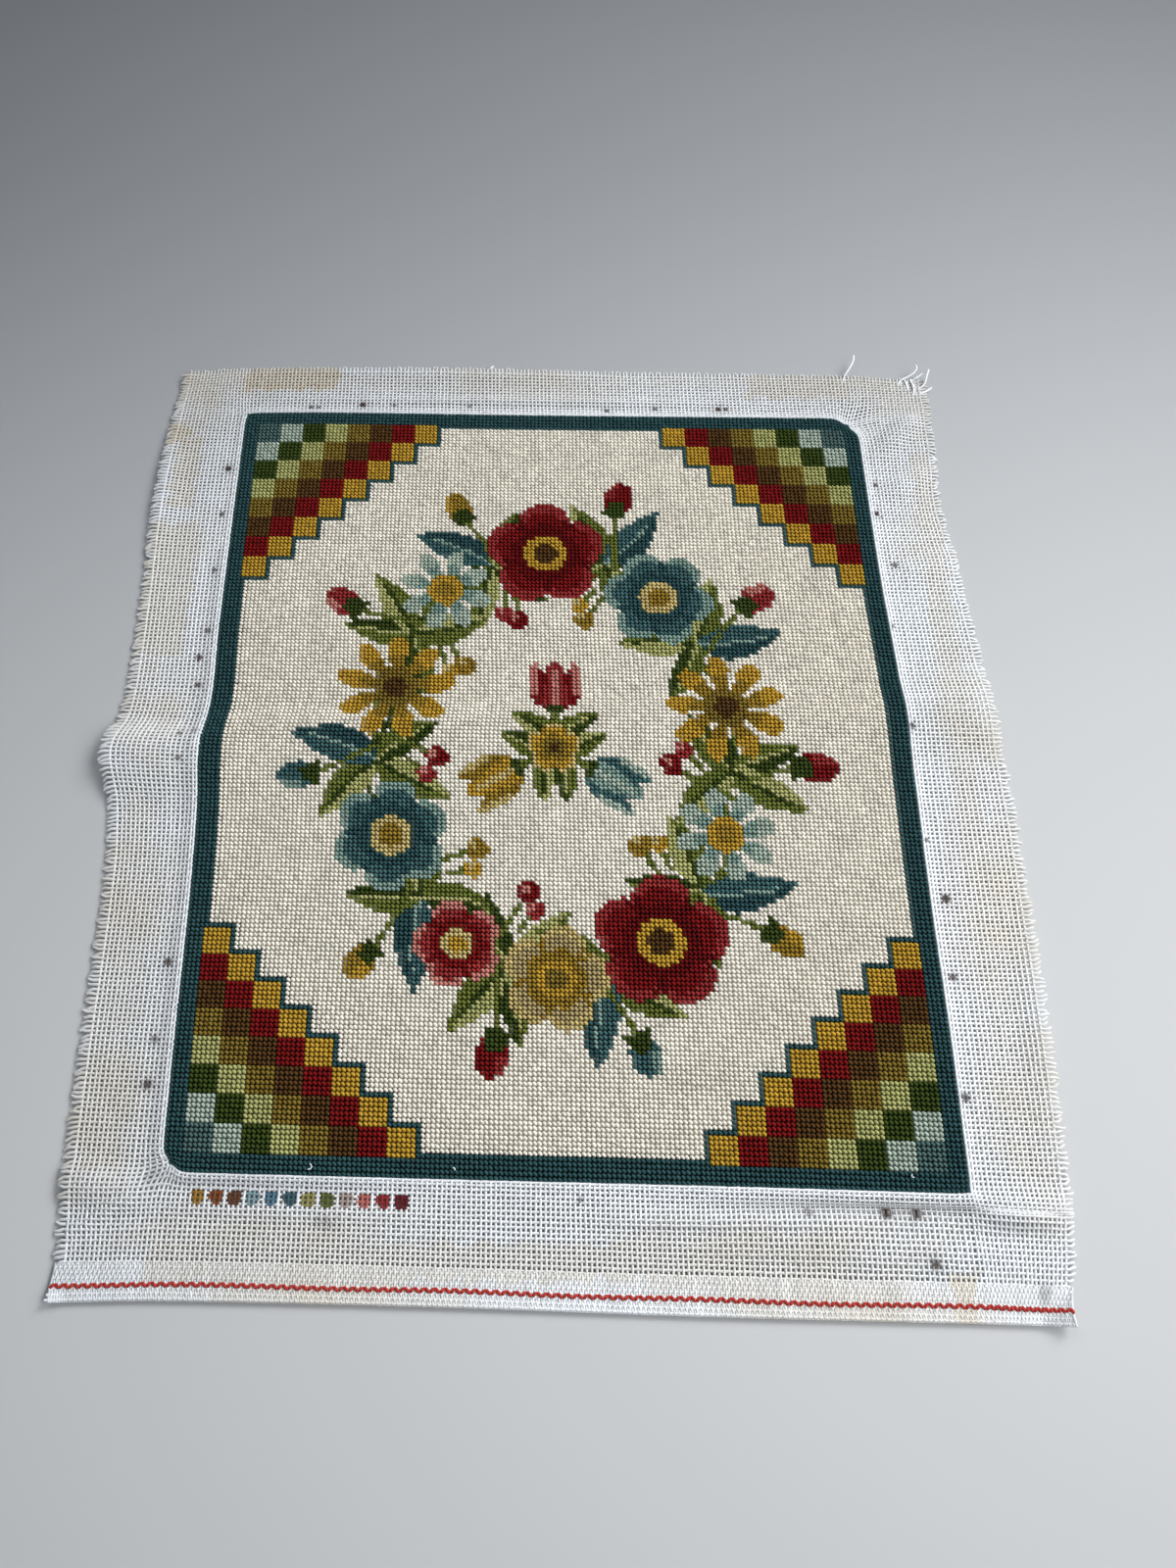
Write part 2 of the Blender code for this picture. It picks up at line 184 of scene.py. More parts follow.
class Wool(Enum):
    """Tapestry wools, each with its tone in steps of 0 to 255."""

    TEAL = (45, 77, 81)
    SLATE = (75, 101, 100)
    PALE_BLUE = (162, 177, 165)
    DARK_GREEN = (55, 70, 26)
    LIGHT_GREEN = (164, 166, 108)
    OLIVE = (121, 102, 42)
    BROWN = (81, 56, 27)
    RED = (115, 18, 20)
    GOLD = (179, 144, 51)
    CREAM = (226, 222, 211)
    CRIMSON = (93, 11, 14)
    ROSE = (143, 47, 47)
    BLUSH = (187, 123, 114)
    OCHRE = (143, 117, 43)
    STRAW = (187, 170, 114)
    TAN = (164, 148, 105)
    MID_GREEN = (102, 112, 50)
    SEA_BLUE = (63, 97, 100)
    MIST_BLUE = (126, 152, 144)


WOOLS = list(Wool)
WOOL_DYES = np.array([linear(wool.value) for wool in WOOLS])
CHECK_WOOLS = (
    Wool.SLATE, Wool.PALE_BLUE, Wool.DARK_GREEN, Wool.LIGHT_GREEN,
    Wool.OLIVE, Wool.BROWN, Wool.RED, Wool.GOLD,
)


class Lay:
    """Lays counted places of the cloth out in metres, as the cloth lies."""

    def __init__(self) -> None:
        """Find the middle of the cloth's footprint, which is the origin of the part."""
        self.middle = np.zeros(2)
        across = np.linspace(-MARGIN_LEFT, FIELD_COLUMNS + MARGIN_RIGHT, 400)
        up = np.linspace(-MARGIN_BOTTOM, FIELD_ROWS + MARGIN_TOP, 400)
        columns = np.concatenate([across, across, up * 0 + across[0], up * 0 + across[-1]])
        rows = np.concatenate([across * 0 + up[0], across * 0 + up[-1], up, up])
        x, y = self.place(columns, rows)
        self.middle = np.array([x.min() + x.max(), y.min() + y.max()]) / 2

    @staticmethod
    def stray(rows: tuple, share: np.ndarray) -> np.ndarray:
        """Read how far an edge strays, on a smooth curve through a table's rows.

        Args:
            rows: Pairs of a share of the way along and metres outwards.
            share: Shares of the way along.

        Returns:
            Metres outwards at each share.
        """
        at, out = np.array(rows, float).T
        share = np.clip(share, 0, 1)
        last = len(at) - 1
        index = np.clip(np.searchsorted(at, share, side="right") - 1, 0, last - 1)
        before, after = np.maximum(index - 1, 0), np.minimum(index + 2, last)
        span = at[index + 1] - at[index]
        slope0 = (out[index + 1] - out[before]) / (at[index + 1] - at[before]) * span
        slope1 = (out[after] - out[index]) / (at[after] - at[index]) * span
        t = (share - at[index]) / span
        return (
            out[index] * (1 + 2 * t) * (1 - t) ** 2 + slope0 * t * (1 - t) ** 2
            + out[index + 1] * t * t * (3 - 2 * t) + slope1 * t * t * (t - 1)
        )

    @staticmethod
    def blend(knots: tuple, values: tuple, at: np.ndarray) -> np.ndarray:
        """Read values at counts, on straight runs between the knots.

        Args:
            knots: Counts at which the values are given, rising.
            values: One array of values, or one value, for each knot.
            at: Counts to read at.

        Returns:
            The value at each count.
        """
        index = np.clip(np.searchsorted(knots, at, side="right") - 1, 0, len(knots) - 2)
        table = np.stack(np.broadcast_arrays(*values, at)[:-1])
        marks = np.array(knots, float)
        place = np.arange(len(at))
        share = (at - marks[index]) / (marks[index + 1] - marks[index])
        return table[index, place] * (1 - share) + table[index + 1, place] * share

    def edge(self, corners: dict, stray: dict, side: str, share: np.ndarray) -> np.ndarray:
        """Find an edge: X of a left or right one, or Y of a bottom or top one.

        Args:
            corners: Corners of the worked field or of the cut cloth.
            stray: How far each of its edges strays.
            side: Which edge.
            share: Shares of the way along it.

        Returns:
            The edge's X or Y at each share, before the shift to the part's origin.
        """
        upright = side in ("left", "right")
        names = ("bottom_" + side, "top_" + side) if upright else (side + "_left", side + "_right")
        start, stop = (corners[name][0 if upright else 1] for name in names)
        outwards = -1 if side in ("left", "bottom") else 1
        return start + (stop - start) * share + outwards * self.stray(stray[side], share)

    def place(self, columns: np.ndarray, rows: np.ndarray) -> tuple[np.ndarray, np.ndarray]:
        """Lay counted places out flat.

        Args:
            columns: Counts across, from the worked field's left edge.
            rows: Counts up, from the worked field's bottom edge.

        Returns:
            X and Y of each place, before the shift to the part's origin.
        """
        columns, rows = (np.asarray(a, float).ravel() for a in np.broadcast_arrays(columns, rows))
        cloth_up = (rows + MARGIN_BOTTOM) / (FIELD_ROWS + MARGIN_BOTTOM + MARGIN_TOP)
        cloth_across = (columns + MARGIN_LEFT) / (FIELD_COLUMNS + MARGIN_LEFT + MARGIN_RIGHT)
        field_up, field_across = rows / FIELD_ROWS, columns / FIELD_COLUMNS
        x = self.blend(
            (-MARGIN_LEFT, 0, FIELD_COLUMNS, FIELD_COLUMNS + MARGIN_RIGHT),
            (
                self.edge(CLOTH_CORNERS, CLOTH_STRAY, "left", cloth_up),
                self.edge(FIELD_CORNERS, FIELD_STRAY, "left", field_up),
                self.edge(FIELD_CORNERS, FIELD_STRAY, "right", field_up),
                self.edge(CLOTH_CORNERS, CLOTH_STRAY, "right", cloth_up),
            ),
            columns,
        )
        counts, shares = zip(*ROW_SHARES)
        worked = (rows > 0) & (rows < FIELD_ROWS)
        packed = np.where(worked, FIELD_ROWS * np.interp(rows, counts, shares), rows)
        y = self.blend(
            (-MARGIN_BOTTOM, 0, FIELD_ROWS, FIELD_ROWS + MARGIN_TOP),
            (
                self.edge(CLOTH_CORNERS, CLOTH_STRAY, "bottom", cloth_across),
                self.edge(FIELD_CORNERS, FIELD_STRAY, "bottom", field_across),
                self.edge(FIELD_CORNERS, FIELD_STRAY, "top", field_across),
                self.edge(CLOTH_CORNERS, CLOTH_STRAY, "top", cloth_across),
            ),
            packed,
        )
        shift_x, shift_y = np.zeros_like(x), np.zeros_like(y)
        for corner, depth, radius in CORNER_PULLS:
            corner_x, corner_y = FIELD_CORNERS[corner]
            near = np.exp(-((x - corner_x) ** 2 + (y - corner_y) ** 2) / radius**2)
            shift_x -= math.copysign(depth * math.sqrt(0.5), corner_x) * near
            shift_y -= math.copysign(depth * math.sqrt(0.5), corner_y) * near
        return x + shift_x, y + shift_y

    @staticmethod
    def lift(x: np.ndarray, y: np.ndarray, mounds: dict = RIPPLES) -> np.ndarray:
        """Height that long mounds give the cloth.

        Args:
            x: X of each place, before the shift to the part's origin.
            y: Y of each place, before the shift.
            mounds: A table of mounds.

        Returns:
            Metres above the flat at each place.
        """
        height = np.zeros_like(x)
        for middle_x, middle_y, turn, half_length, near, far, crest in mounds.values():
            angle = math.radians(turn)
            along = (x - middle_x) * math.cos(angle) + (y - middle_y) * math.sin(angle)
            across = (y - middle_y) * math.cos(angle) - (x - middle_x) * math.sin(angle)
            half_width = np.where(across > 0, far, near)
            reach = (along / half_length) ** 2 + (across / half_width) ** 2
            height += crest * np.clip(1 - reach, 0, 1) ** 2
        return height

    def points(
        self, columns: np.ndarray, rows: np.ndarray, above: np.ndarray | float = 0.0
    ) -> np.ndarray:
        """Lay counted places out on the rippled cloth.

        Args:
            columns: Counts across.
            rows: Counts up.
            above: Metres above the cloth's underside.

        Returns:
            One row of X, Y and Z for each place, in the part's frame.
        """
        x, y = self.place(columns, rows)
        return np.column_stack([x - self.middle[0], y - self.middle[1], self.lift(x, y) + above])


class Chart:
    """The counted chart: one wool for each stitch of the worked field."""

    def __init__(self) -> None:
        """Start with plain cream all over."""
        self.wool = np.full((FIELD_ROWS, FIELD_COLUMNS), WOOLS.index(Wool.CREAM))
        rows, columns = np.mgrid[0:FIELD_ROWS, 0:FIELD_COLUMNS]
        self.column, self.row = columns + 0.5, rows + 0.5
        self.across = np.minimum(self.column, FIELD_COLUMNS - self.column) - BORDER
        self.up = np.minimum(self.row, FIELD_ROWS - self.row) - BORDER
        self.order = np.floor(self.across / CHECK) + np.floor(self.up / CHECK)
        inside = (self.across > 0) & (self.up > 0)
        self.checks = inside & (self.order < CHECKS_PER_ARM)
        grown = np.zeros_like(self.checks)
        for down in (-1, 0, 1):
            for along in (-1, 0, 1):
                grown |= np.roll(self.checks, (down, along), (0, 1))
        self.outline = inside & grown & ~self.checks
        edge = np.minimum(self.across, self.up)
        beside_ground = inside & (edge < OUTLINE) & ~self.checks & ~self.outline
        self.frame = ~inside | beside_ground
        self.ground = ~(self.frame | self.checks | self.outline)

    def paint(self, where: np.ndarray, wool: Wool) -> None:
        """Work the marked stitches in one wool."""
        self.wool[where] = WOOLS.index(wool)

    def about(self, column: float, row: float, turn: float) -> tuple[np.ndarray, np.ndarray]:
        """Measure every stitch from a place, along a turned direction and across it.

        Args:
            column: Count across of the place.
            row: Count up of the place.
            turn: Degrees from the rightward direction.

        Returns:
            Counts along and counts across, for every stitch.
        """
        angle = math.radians(turn)
        east, north = self.column - column, self.row - row
        along = east * math.cos(angle) + north * math.sin(angle)
        return along, north * math.cos(angle) - east * math.sin(angle)

    def trail(self, route: list[tuple[float, float]], half: float, wool: Wool) -> None:
        """Work a stem along a route of counted places.

        Args:
            route: The places that the stem passes.
            half: Half its thickness, in stitches.
            wool: The stem's wool.
        """
        for (c0, r0), (c1, r1) in zip(route[:-1], route[1:]):
            span = max(math.hypot(c1 - c0, r1 - r0), 1e-6)
            share = ((self.column - c0) * (c1 - c0) + (self.row - r0) * (r1 - r0)) / span**2
            share = np.clip(share, 0, 1)
            away = np.hypot(self.column - c0 - share * (c1 - c0), self.row - r0 - share * (r1 - r0))
            self.paint(away < half, wool)

    def finish(self) -> None:
        """Work the frame, the checks and their outline over whatever reaches them."""
        self.paint(self.frame | self.outline, Wool.TEAL)
        for order, wool in enumerate(CHECK_WOOLS):
            self.paint(self.checks & (self.order == order), wool)


class Motif:
    """A shape of the garland, drawn about its own place along its own direction."""

    def work(self, chart: Chart, column: float, row: float, turn: float = 0.0) -> None:
        """Work the motif at a counted place.

        Args:
            chart: The chart to work on.
            column: Count across of the motif's middle or foot.
            row: Count up of it.
            turn: Degrees from the rightward direction.
        """
        self.draw(chart, *chart.about(column, row, turn))

    def draw(self, chart: Chart, along: np.ndarray, across: np.ndarray) -> None:
        """Mark the motif's stitches.

        Args:
            chart: The chart to work on.
            along: Counts of every stitch along the motif's direction.
            across: Counts of every stitch across it.
        """
        raise NotImplementedError


@dataclass(frozen=True)
class Rosette(Motif):
    """A round bloom of broad petals.

    Fields are its radius in stitches, its petals, and the wools of its rim, petals, folds, ring and heart.
    """

    radius: float
    petals: int
    rim: Wool
    flesh: Wool
    shade: Wool
    ring: Wool = Wool.GOLD
    heart: Wool = Wool.BROWN

    def draw(self, chart: Chart, along: np.ndarray, across: np.ndarray) -> None:
        """Mark the bloom, from its rim to its heart.

        Args:
            chart: The chart to work on.
            along: Counts of every stitch along the bloom's turn.
            across: Counts of every stitch across it.
        """
        reach = np.hypot(along, across) / self.radius
        lobe = np.abs(np.cos(np.arctan2(across, along) * self.petals / 2))
        edge = 0.70 + 0.30 * lobe**0.55
        chart.paint(reach < edge, self.rim)
        chart.paint(reach < edge - 0.17, self.flesh)
        chart.paint((reach < edge - 0.05) & (lobe < 0.30) & (reach > 0.3), self.shade)
        chart.paint(reach < 0.48 + 0.1 * lobe, self.shade)
        chart.paint(reach < 0.36, self.ring)
        chart.paint(reach < 0.2, self.heart)


@dataclass(frozen=True)
class Daisy(Motif):
    """A round bloom of narrow petals with the ground between them.

    Fields are its radius in stitches, its petals, and the wools of their tips and feet, ring and heart.
    """

    radius: float
    petals: int
    tip: Wool
    base: Wool
    ring: Wool
    heart: Wool

    def draw(self, chart: Chart, along: np.ndarray, across: np.ndarray) -> None:
        """Mark the bloom, from its rim to its heart.

        Args:
            chart: The chart to work on.
            along: Counts of every stitch along the bloom's turn.
            across: Counts of every stitch across it.
        """
        reach = np.hypot(along, across) / self.radius
        gap = np.abs(np.sin(np.arctan2(across, along) * self.petals / 2))
        petal = (reach < 1) & (gap > 0.42 + 2.2 * np.clip(reach - 0.75, 0, 1))
        chart.paint(petal, self.tip)
        chart.paint(petal & (reach < 0.62), self.base)
        chart.paint(reach < 0.38, self.ring)
        chart.paint(reach < 0.2, self.heart)


@dataclass(frozen=True)
class Tulip(Motif):
    """A bloom seen from its side, with three points.

    Fields are its length in stitches and the wools of its outside, inside and light edges.
    """

    length: float
    outer: Wool
    inner: Wool
    light: Wool

    def draw(self, chart: Chart, along: np.ndarray, across: np.ndarray) -> None:
        """Mark the bloom, upwards from its foot.

        Args:
            chart: The chart to work on.
            along: Counts of every stitch along the bloom.
            across: Counts of every stitch across it.
        """
        up, side = along / self.length, np.abs(across) / (self.length * 0.44)
        width = np.sqrt(np.clip(1 - ((up - 0.42) / 0.46) ** 2, 0, 1))
        crown = 0.70 + 0.26 * np.abs(np.cos(side * math.pi * 1.12))
        cup = (up > -0.02) & (up < crown) & (side < np.where(up > 0.42, 0.86 + 0.14 * width, width))
        middle = cup & (side < 0.42 * np.clip(1.25 - up, 0, 1) + 0.08) & (up > 0.06)
        chart.paint(cup, self.outer)
        chart.paint(middle, self.inner)
        chart.paint(middle & (side < 0.13) & (up < 0.8), self.light)
        chart.paint(cup & (side > 0.72) & (up > 0.3), self.light)
        chart.paint((side < 0.32) & (up > -0.08) & (up < 0.05), Wool.DARK_GREEN)


@dataclass(frozen=True)
class Leaf(Motif):
    """A pointed leaf with a light half, a dark half and a rib.

    Fields are its length and width in stitches, its bend as a share of its length, and its wools.
    """

    length: float
    width: float
    bend: float
    light: Wool
    dark: Wool
    rib: Wool

    def draw(self, chart: Chart, along: np.ndarray, across: np.ndarray) -> None:
        """Mark the leaf's halves and its rib, from its foot.

        Args:
            chart: The chart to work on.
            along: Counts of every stitch along the leaf.
            across: Counts of every stitch across it.
        """
        up = along / self.length
        inside = (up > 0) & (up < 1)
        side = across - self.bend * self.length * np.where(inside, up * up, 0)
        half = self.width / 2 * np.sin(math.pi * np.clip(up, 0, 1) ** 0.8) ** 0.85
        blade = inside & (np.abs(side) < half)
        chart.paint(blade, self.light)
        chart.paint(blade & (side < 0), self.dark)
        chart.paint(inside & (np.abs(side) < 0.5) & (up < 0.8), self.rib)


@dataclass(frozen=True)
class Bud(Motif):
    """A closed bud in its green cup.

    Fields are its length in stitches and the wools of its petals and of their light side.
    """

    length: float
    petal: Wool
    shine: Wool

    def draw(self, chart: Chart, along: np.ndarray, across: np.ndarray) -> None:
        """Mark the bud and its cup, from its foot.

        Args:
            chart: The chart to work on.
            along: Counts of every stitch along the bud.
            across: Counts of every stitch across it.
        """
        up, side = along / self.length, across / (self.length * 0.36)
        body = ((up - 0.5) / 0.5) ** 2 + side**2 < 1
        chart.paint(body, self.petal)
        chart.paint(body & (side > 0.25) & (up > 0.45), self.shine)
        chart.paint((np.abs(side) < 0.85 - up * 0.9) & (up > -0.08) & (up < 0.42), Wool.DARK_GREEN)


@dataclass(frozen=True)
class Berry(Motif):
    """A round berry with a light spot.

    Fields are its radius in stitches and the wools of its skin and of its spot.
    """

    radius: float
    skin: Wool
    shine: Wool

    def draw(self, chart: Chart, along: np.ndarray, across: np.ndarray) -> None:
        """Mark the berry and its spot, round its middle.

        Args:
            chart: The chart to work on.
            along: Counts of every stitch along the rightward direction.
            across: Counts of every stitch across it.
        """
        chart.paint(np.hypot(along, across) < self.radius, self.skin)
        spot = np.hypot(along + self.radius * 0.3, across - self.radius * 0.35)
        chart.paint(spot < self.radius * 0.42, self.shine)


RED_ROSETTE = Rosette(15.0, 5, Wool.ROSE, Wool.RED, Wool.CRIMSON)
BLUE_ROSETTE = Rosette(13.5, 6, Wool.MIST_BLUE, Wool.SEA_BLUE, Wool.TEAL, Wool.STRAW, Wool.OCHRE)
BLUSH_ROSETTE = Rosette(10.0, 5, Wool.BLUSH, Wool.ROSE, Wool.RED, Wool.STRAW, Wool.GOLD)
STRAW_ROSETTE = Rosette(12.0, 5, Wool.STRAW, Wool.TAN, Wool.OCHRE, Wool.GOLD, Wool.OLIVE)
GOLD_DAISY = Daisy(14.0, 9, Wool.GOLD, Wool.OCHRE, Wool.OLIVE, Wool.BROWN)
PALE_DAISY = Daisy(11.5, 8, Wool.PALE_BLUE, Wool.MIST_BLUE, Wool.GOLD, Wool.OCHRE)
SPRING_LEAF = Leaf(19, 8, 0.16, Wool.LIGHT_GREEN, Wool.MID_GREEN, Wool.DARK_GREEN)
DEEP_LEAF = Leaf(17, 7, -0.16, Wool.MID_GREEN, Wool.DARK_GREEN, Wool.LIGHT_GREEN)
BLUE_LEAF = Leaf(21, 9, 0.20, Wool.SEA_BLUE, Wool.TEAL, Wool.MIST_BLUE)
SMALL_SPRING_LEAF = Leaf(12, 5.5, 0.2, Wool.LIGHT_GREEN, Wool.MID_GREEN, Wool.DARK_GREEN)
SMALL_DEEP_LEAF = Leaf(12, 5.5, -0.2, Wool.MID_GREEN, Wool.DARK_GREEN, Wool.LIGHT_GREEN)
RED_BUD = Bud(10, Wool.RED, Wool.ROSE)
ROSE_BUD = Bud(10, Wool.ROSE, Wool.BLUSH)
BLUE_BUD = Bud(9, Wool.SEA_BLUE, Wool.MIST_BLUE)
GOLD_BUD = Bud(9, Wool.OCHRE, Wool.GOLD)


@dataclass(frozen=True)
class Garland:
    """A plain oval wreath of mixed blooms, leaves, buds and berries, with a sprig in its middle.

    Fields are the counts of its middle, half its size across and up, half a stem's thickness, and the
    stitches from the sprig's heart to its leaves, to a tulip's foot and to a stem's end.
    """

    column: float = 82.0
    row: float = 96.0
    half_across: float = 41.0
    half_up: float = 54.0
    stem: float = 0.6
    sprig_steps: tuple[float, float, float] = (2, 10, 12)

    # Columns: degrees round the oval, stitches outwards, bloom
    blooms = (
        (92, 0, RED_ROSETTE), (129, 1, PALE_DAISY), (163, -1, GOLD_DAISY), (204, 0, BLUE_ROSETTE),
        (238, 1, BLUSH_ROSETTE), (269, 0, STRAW_ROSETTE), (303, 0, RED_ROSETTE), (338, 0, PALE_DAISY),
        (12, 0, GOLD_DAISY), (50, 0, BLUE_ROSETTE),
    )
    # Columns: degrees round the oval, stitches outwards, bud
    buds = (
        (71, 15, RED_BUD), (111, 15, GOLD_BUD), (146, 15, ROSE_BUD), (184, 14, BLUE_BUD),
        (222, 15, GOLD_BUD), (254, 14, RED_BUD), (285, 15, BLUE_BUD), (321, 16, GOLD_BUD),
        (355, 14, RED_BUD), (32, 15, ROSE_BUD),
    )
    # Columns: degrees round the oval, stitches inwards
    berry_sprays = (
        (71, 17), (111, 17), (146, 15), (184, 14), (222, 17), (254, 18), (321, 17), (355, 14),
    )
    # Columns: turn in degrees, outer, inner and light wool of a tulip of the middle sprig
    tulips = (
        (90, Wool.RED, Wool.ROSE, Wool.BLUSH),
        (210, Wool.OCHRE, Wool.GOLD, Wool.STRAW),
        (330, Wool.SEA_BLUE, Wool.MIST_BLUE, Wool.PALE_BLUE),
    )

    def at(self, degrees: float, outwards: float = 0.0) -> tuple[float, float]:
        """Find a counted place round the oval.

        Args:
            degrees: Angle from the oval's right end, rising to its top.
            outwards: Stitches outwards from the oval.

        Returns:
            Counts across and up.
        """
        angle = math.radians(degrees)
        return (
            self.column + (self.half_across + outwards) * math.cos(angle),
            self.row + (self.half_up + outwards) * math.sin(angle),
        )

    def work(self, chart: Chart) -> None:
        """Work the wreath from its stems up to its blooms.

        Args:
            chart: The chart to work on.
        """
        for sway, half, wool in ((2.2, 0.95, Wool.MID_GREEN), (-2.4, 0.7, Wool.DARK_GREEN)):
            route = [self.at(a, sway * math.sin(math.radians(a * 9))) for a in range(0, 361, 3)]
            chart.trail(route, half, wool)
        outer = (SPRING_LEAF, BLUE_LEAF, DEEP_LEAF)
        inner = (DEEP_LEAF, SPRING_LEAF)
        for count, (degrees, _, _) in enumerate(self.buds):
            for leaves, step, turn in ((outer, 0, 34), (outer, 1, -34), (inner, 0, 140), (inner, 1, 220)):
                leaves[(count + step) % len(leaves)].work(chart, *self.at(degrees), degrees + turn)
        for degrees, outwards, bud in self.buds:
            tip = self.at(degrees + 2, outwards)
            stem = [self.at(degrees - 4), self.at(degrees, outwards * 0.55), tip]
            chart.trail(stem, self.stem, Wool.MID_GREEN)
            bud.work(chart, *tip, degrees + 4)
        self.work_berries(chart)
        for count, (degrees, outwards, bloom) in enumerate(self.blooms):
            bloom.work(chart, *self.at(degrees, outwards), degrees + 12 * (count % 3))
        self.work_sprig(chart)

    def work_berries(self, chart: Chart) -> None:
        """Work the pairs of berries inside the oval.

        Args:
            chart: The chart to work on.
        """
        for count, (degrees, inwards) in enumerate(self.berry_sprays):
            red = bool(count % 2)
            tip, side = self.at(degrees, -inwards), self.at(degrees + 5, -inwards * 0.8)
            stem = [self.at(degrees - 7), self.at(degrees - 4, -inwards * 0.6), tip]
            chart.trail(stem, self.stem, Wool.MID_GREEN)
            chart.trail([self.at(degrees, -inwards * 0.5), side], self.stem, Wool.MID_GREEN)
            shine = Wool.BLUSH if red else Wool.STRAW
            Berry(2.6, Wool.RED if red else Wool.OCHRE, shine).work(chart, *tip)
            Berry(2.1, Wool.ROSE if red else Wool.GOLD, shine).work(chart, *side)

    def work_sprig(self, chart: Chart) -> None:
        """Work the three tulips and the small rosette in the middle.

        Args:
            chart: The chart to work on.
        """
        for turn, outer, inner, light in self.tulips:
            east, north = math.cos(math.radians(turn)), math.sin(math.radians(turn))
            near, foot, end = (
                (self.column + away * east, self.row + away * north) for away in self.sprig_steps
            )
            chart.trail([(self.column, self.row), end], self.stem + 0.2, Wool.MID_GREEN)
            Tulip(14, outer, inner, light).work(chart, *foot, turn)
            SMALL_SPRING_LEAF.work(chart, *near, turn + 45)
            SMALL_DEEP_LEAF.work(chart, *near, turn - 45)
        heart = Rosette(6.5, 5, Wool.STRAW, Wool.GOLD, Wool.OCHRE, Wool.OLIVE, Wool.BROWN)
        heart.work(chart, self.column, self.row, 90)


class Signal:
    """A node's output that takes part in Python sums."""

    def __init__(self, graph: Graph, socket: bpy.types.NodeSocket) -> None:
        """Wrap an output socket of a graph."""
        self.graph, self.socket = graph, socket

    def math(self, operation: str, other: Signal | float, swapped: bool = False) -> Signal:
        """Join with another value through one Math node.

        Args:
            operation: Name of the Math node's operation.
            other: The other value.
            swapped: Whether the other value comes first.

        Returns:
            The result.
        """
        first, second = (other, self) if swapped else (self, other)
        return self.graph.signal("ShaderNodeMath", 0, {"operation": operation}, {0: first, 1: second})

    def __add__(self, other: Signal | float) -> Signal:
        """Sum."""
        return self.math("ADD", other)

    __radd__ = __add__

    def __sub__(self, other: Signal | float) -> Signal:
        """Difference."""
        return self.math("SUBTRACT", other)

    def __rsub__(self, other: float) -> Signal:
        """Difference from a number."""
        return self.math("SUBTRACT", other, swapped=True)

    def __mul__(self, other: Signal | float) -> Signal:
        """Product."""
        return self.math("MULTIPLY", other)

    __rmul__ = __mul__

    def __rtruediv__(self, other: float) -> Signal:
        """Quotient of a number and this value."""
        return self.math("DIVIDE", other, swapped=True)

    def cosine(self) -> Signal:
        """Cosine."""
        return self.math("COSINE", 0.0)


class Graph:
    """A node tree with one way to add any node."""

    def __init__(self, tree: bpy.types.NodeTree) -> None:
        """Wrap a tree and empty it."""
        self.tree = tree
        tree.nodes.clear()

    def add(self, kind: str, settings: dict | None = None, inputs: dict | None = None) -> bpy.types.Node:
        """Add a node.

        Args:
            kind: The node's type.
            settings: Its settings, set first.
            inputs: Values or links of its sockets, by name or place.

        Returns:
            The new node.
        """
        node = self.tree.nodes.new(kind)
        for name, value in (settings or {}).items():
            setattr(node, name, value)
        for name, value in (inputs or {}).items():
            socket = node.inputs[name]
            source = value.socket if isinstance(value, Signal) else value
            if isinstance(source, bpy.types.NodeSocket):
                self.tree.links.new(source, socket)
            else:
                socket.default_value = source
        return node

    def signal(
        self, kind: str, output: str | int, settings: dict | None = None, inputs: dict | None = None
    ) -> Signal:
        """Add a node and wrap one of its outputs.

        Args:
            kind: The node's type.
            output: Name or place of the output.
            settings: Its settings, as for add.
            inputs: Values or links of its sockets, as for add.

        Returns:
            The output.
        """
        return Signal(self, self.add(kind, settings, inputs).outputs[output])


@dataclass(frozen=True)
class YarnFinish:
    """Matt spun yarn, coloured as the piece's colour attribute says; on the canvas threads and the worked
    sheet that colour holds painted shade as well.

    Fields are the material's name, roughness, fuzz (sheen), the strength of the fibre relief, the grain
    of the fibres in waves a metre, how far the fibres' tone varies, the grain of the broader patches, the
    depth of the fibres in metres, and the shine.
    """

    name: str
    roughness: float = 0.92
    fuzz: float = 0.02
    relief: float = 0.45
    grain: float = 1900.0
    variation: float = 0.30
    patches: float = 60.0
    relief_depth: float = 0.0002
    shine: float = 0.05

    def material(self) -> bpy.types.Material:
        """Build the material.

        Returns:
            The material.
        """
        made = bpy.data.materials.new(self.name)
        made.use_nodes = True
        graph = Graph(made.node_tree)
        place = graph.signal("ShaderNodeTexCoord", "Object")
        dye = graph.signal("ShaderNodeAttribute", "Color", {"attribute_name": "dye"})
        fibres, patches = (
            graph.signal(
                "ShaderNodeTexNoise", "Fac", {},
                {"Vector": place, "Scale": scale, "Detail": detail, "Roughness": rough},
            )
            for scale, detail, rough in ((self.grain, 3.0, 0.6), (self.patches, 2.0, 0.5))
        )
        tone = 1.0 + (fibres - 0.5) * self.variation + (patches - 0.5) * (self.variation * 0.8)
        tinted = graph.signal(
            "ShaderNodeMix", "Result", {"data_type": "RGBA", "blend_type": "MULTIPLY"},
            {"Factor": 1.0, "A": dye, "B": tone},
        )
        bump = graph.signal(
            "ShaderNodeBump", "Normal", {},
            {"Strength": self.relief, "Distance": self.relief_depth, "Height": fibres},
        )
        shader = graph.add(
            "ShaderNodeBsdfPrincipled", {},
            {
                "Base Color": tinted, "Roughness": self.roughness + (fibres - 0.5) * 0.08, "Normal": bump,
                "Sheen Weight": self.fuzz, "Sheen Roughness": 0.5, "Specular IOR Level": self.shine,
            },
        )
        graph.add("ShaderNodeOutputMaterial", {}, {"Surface": shader.outputs["BSDF"]})
        return made


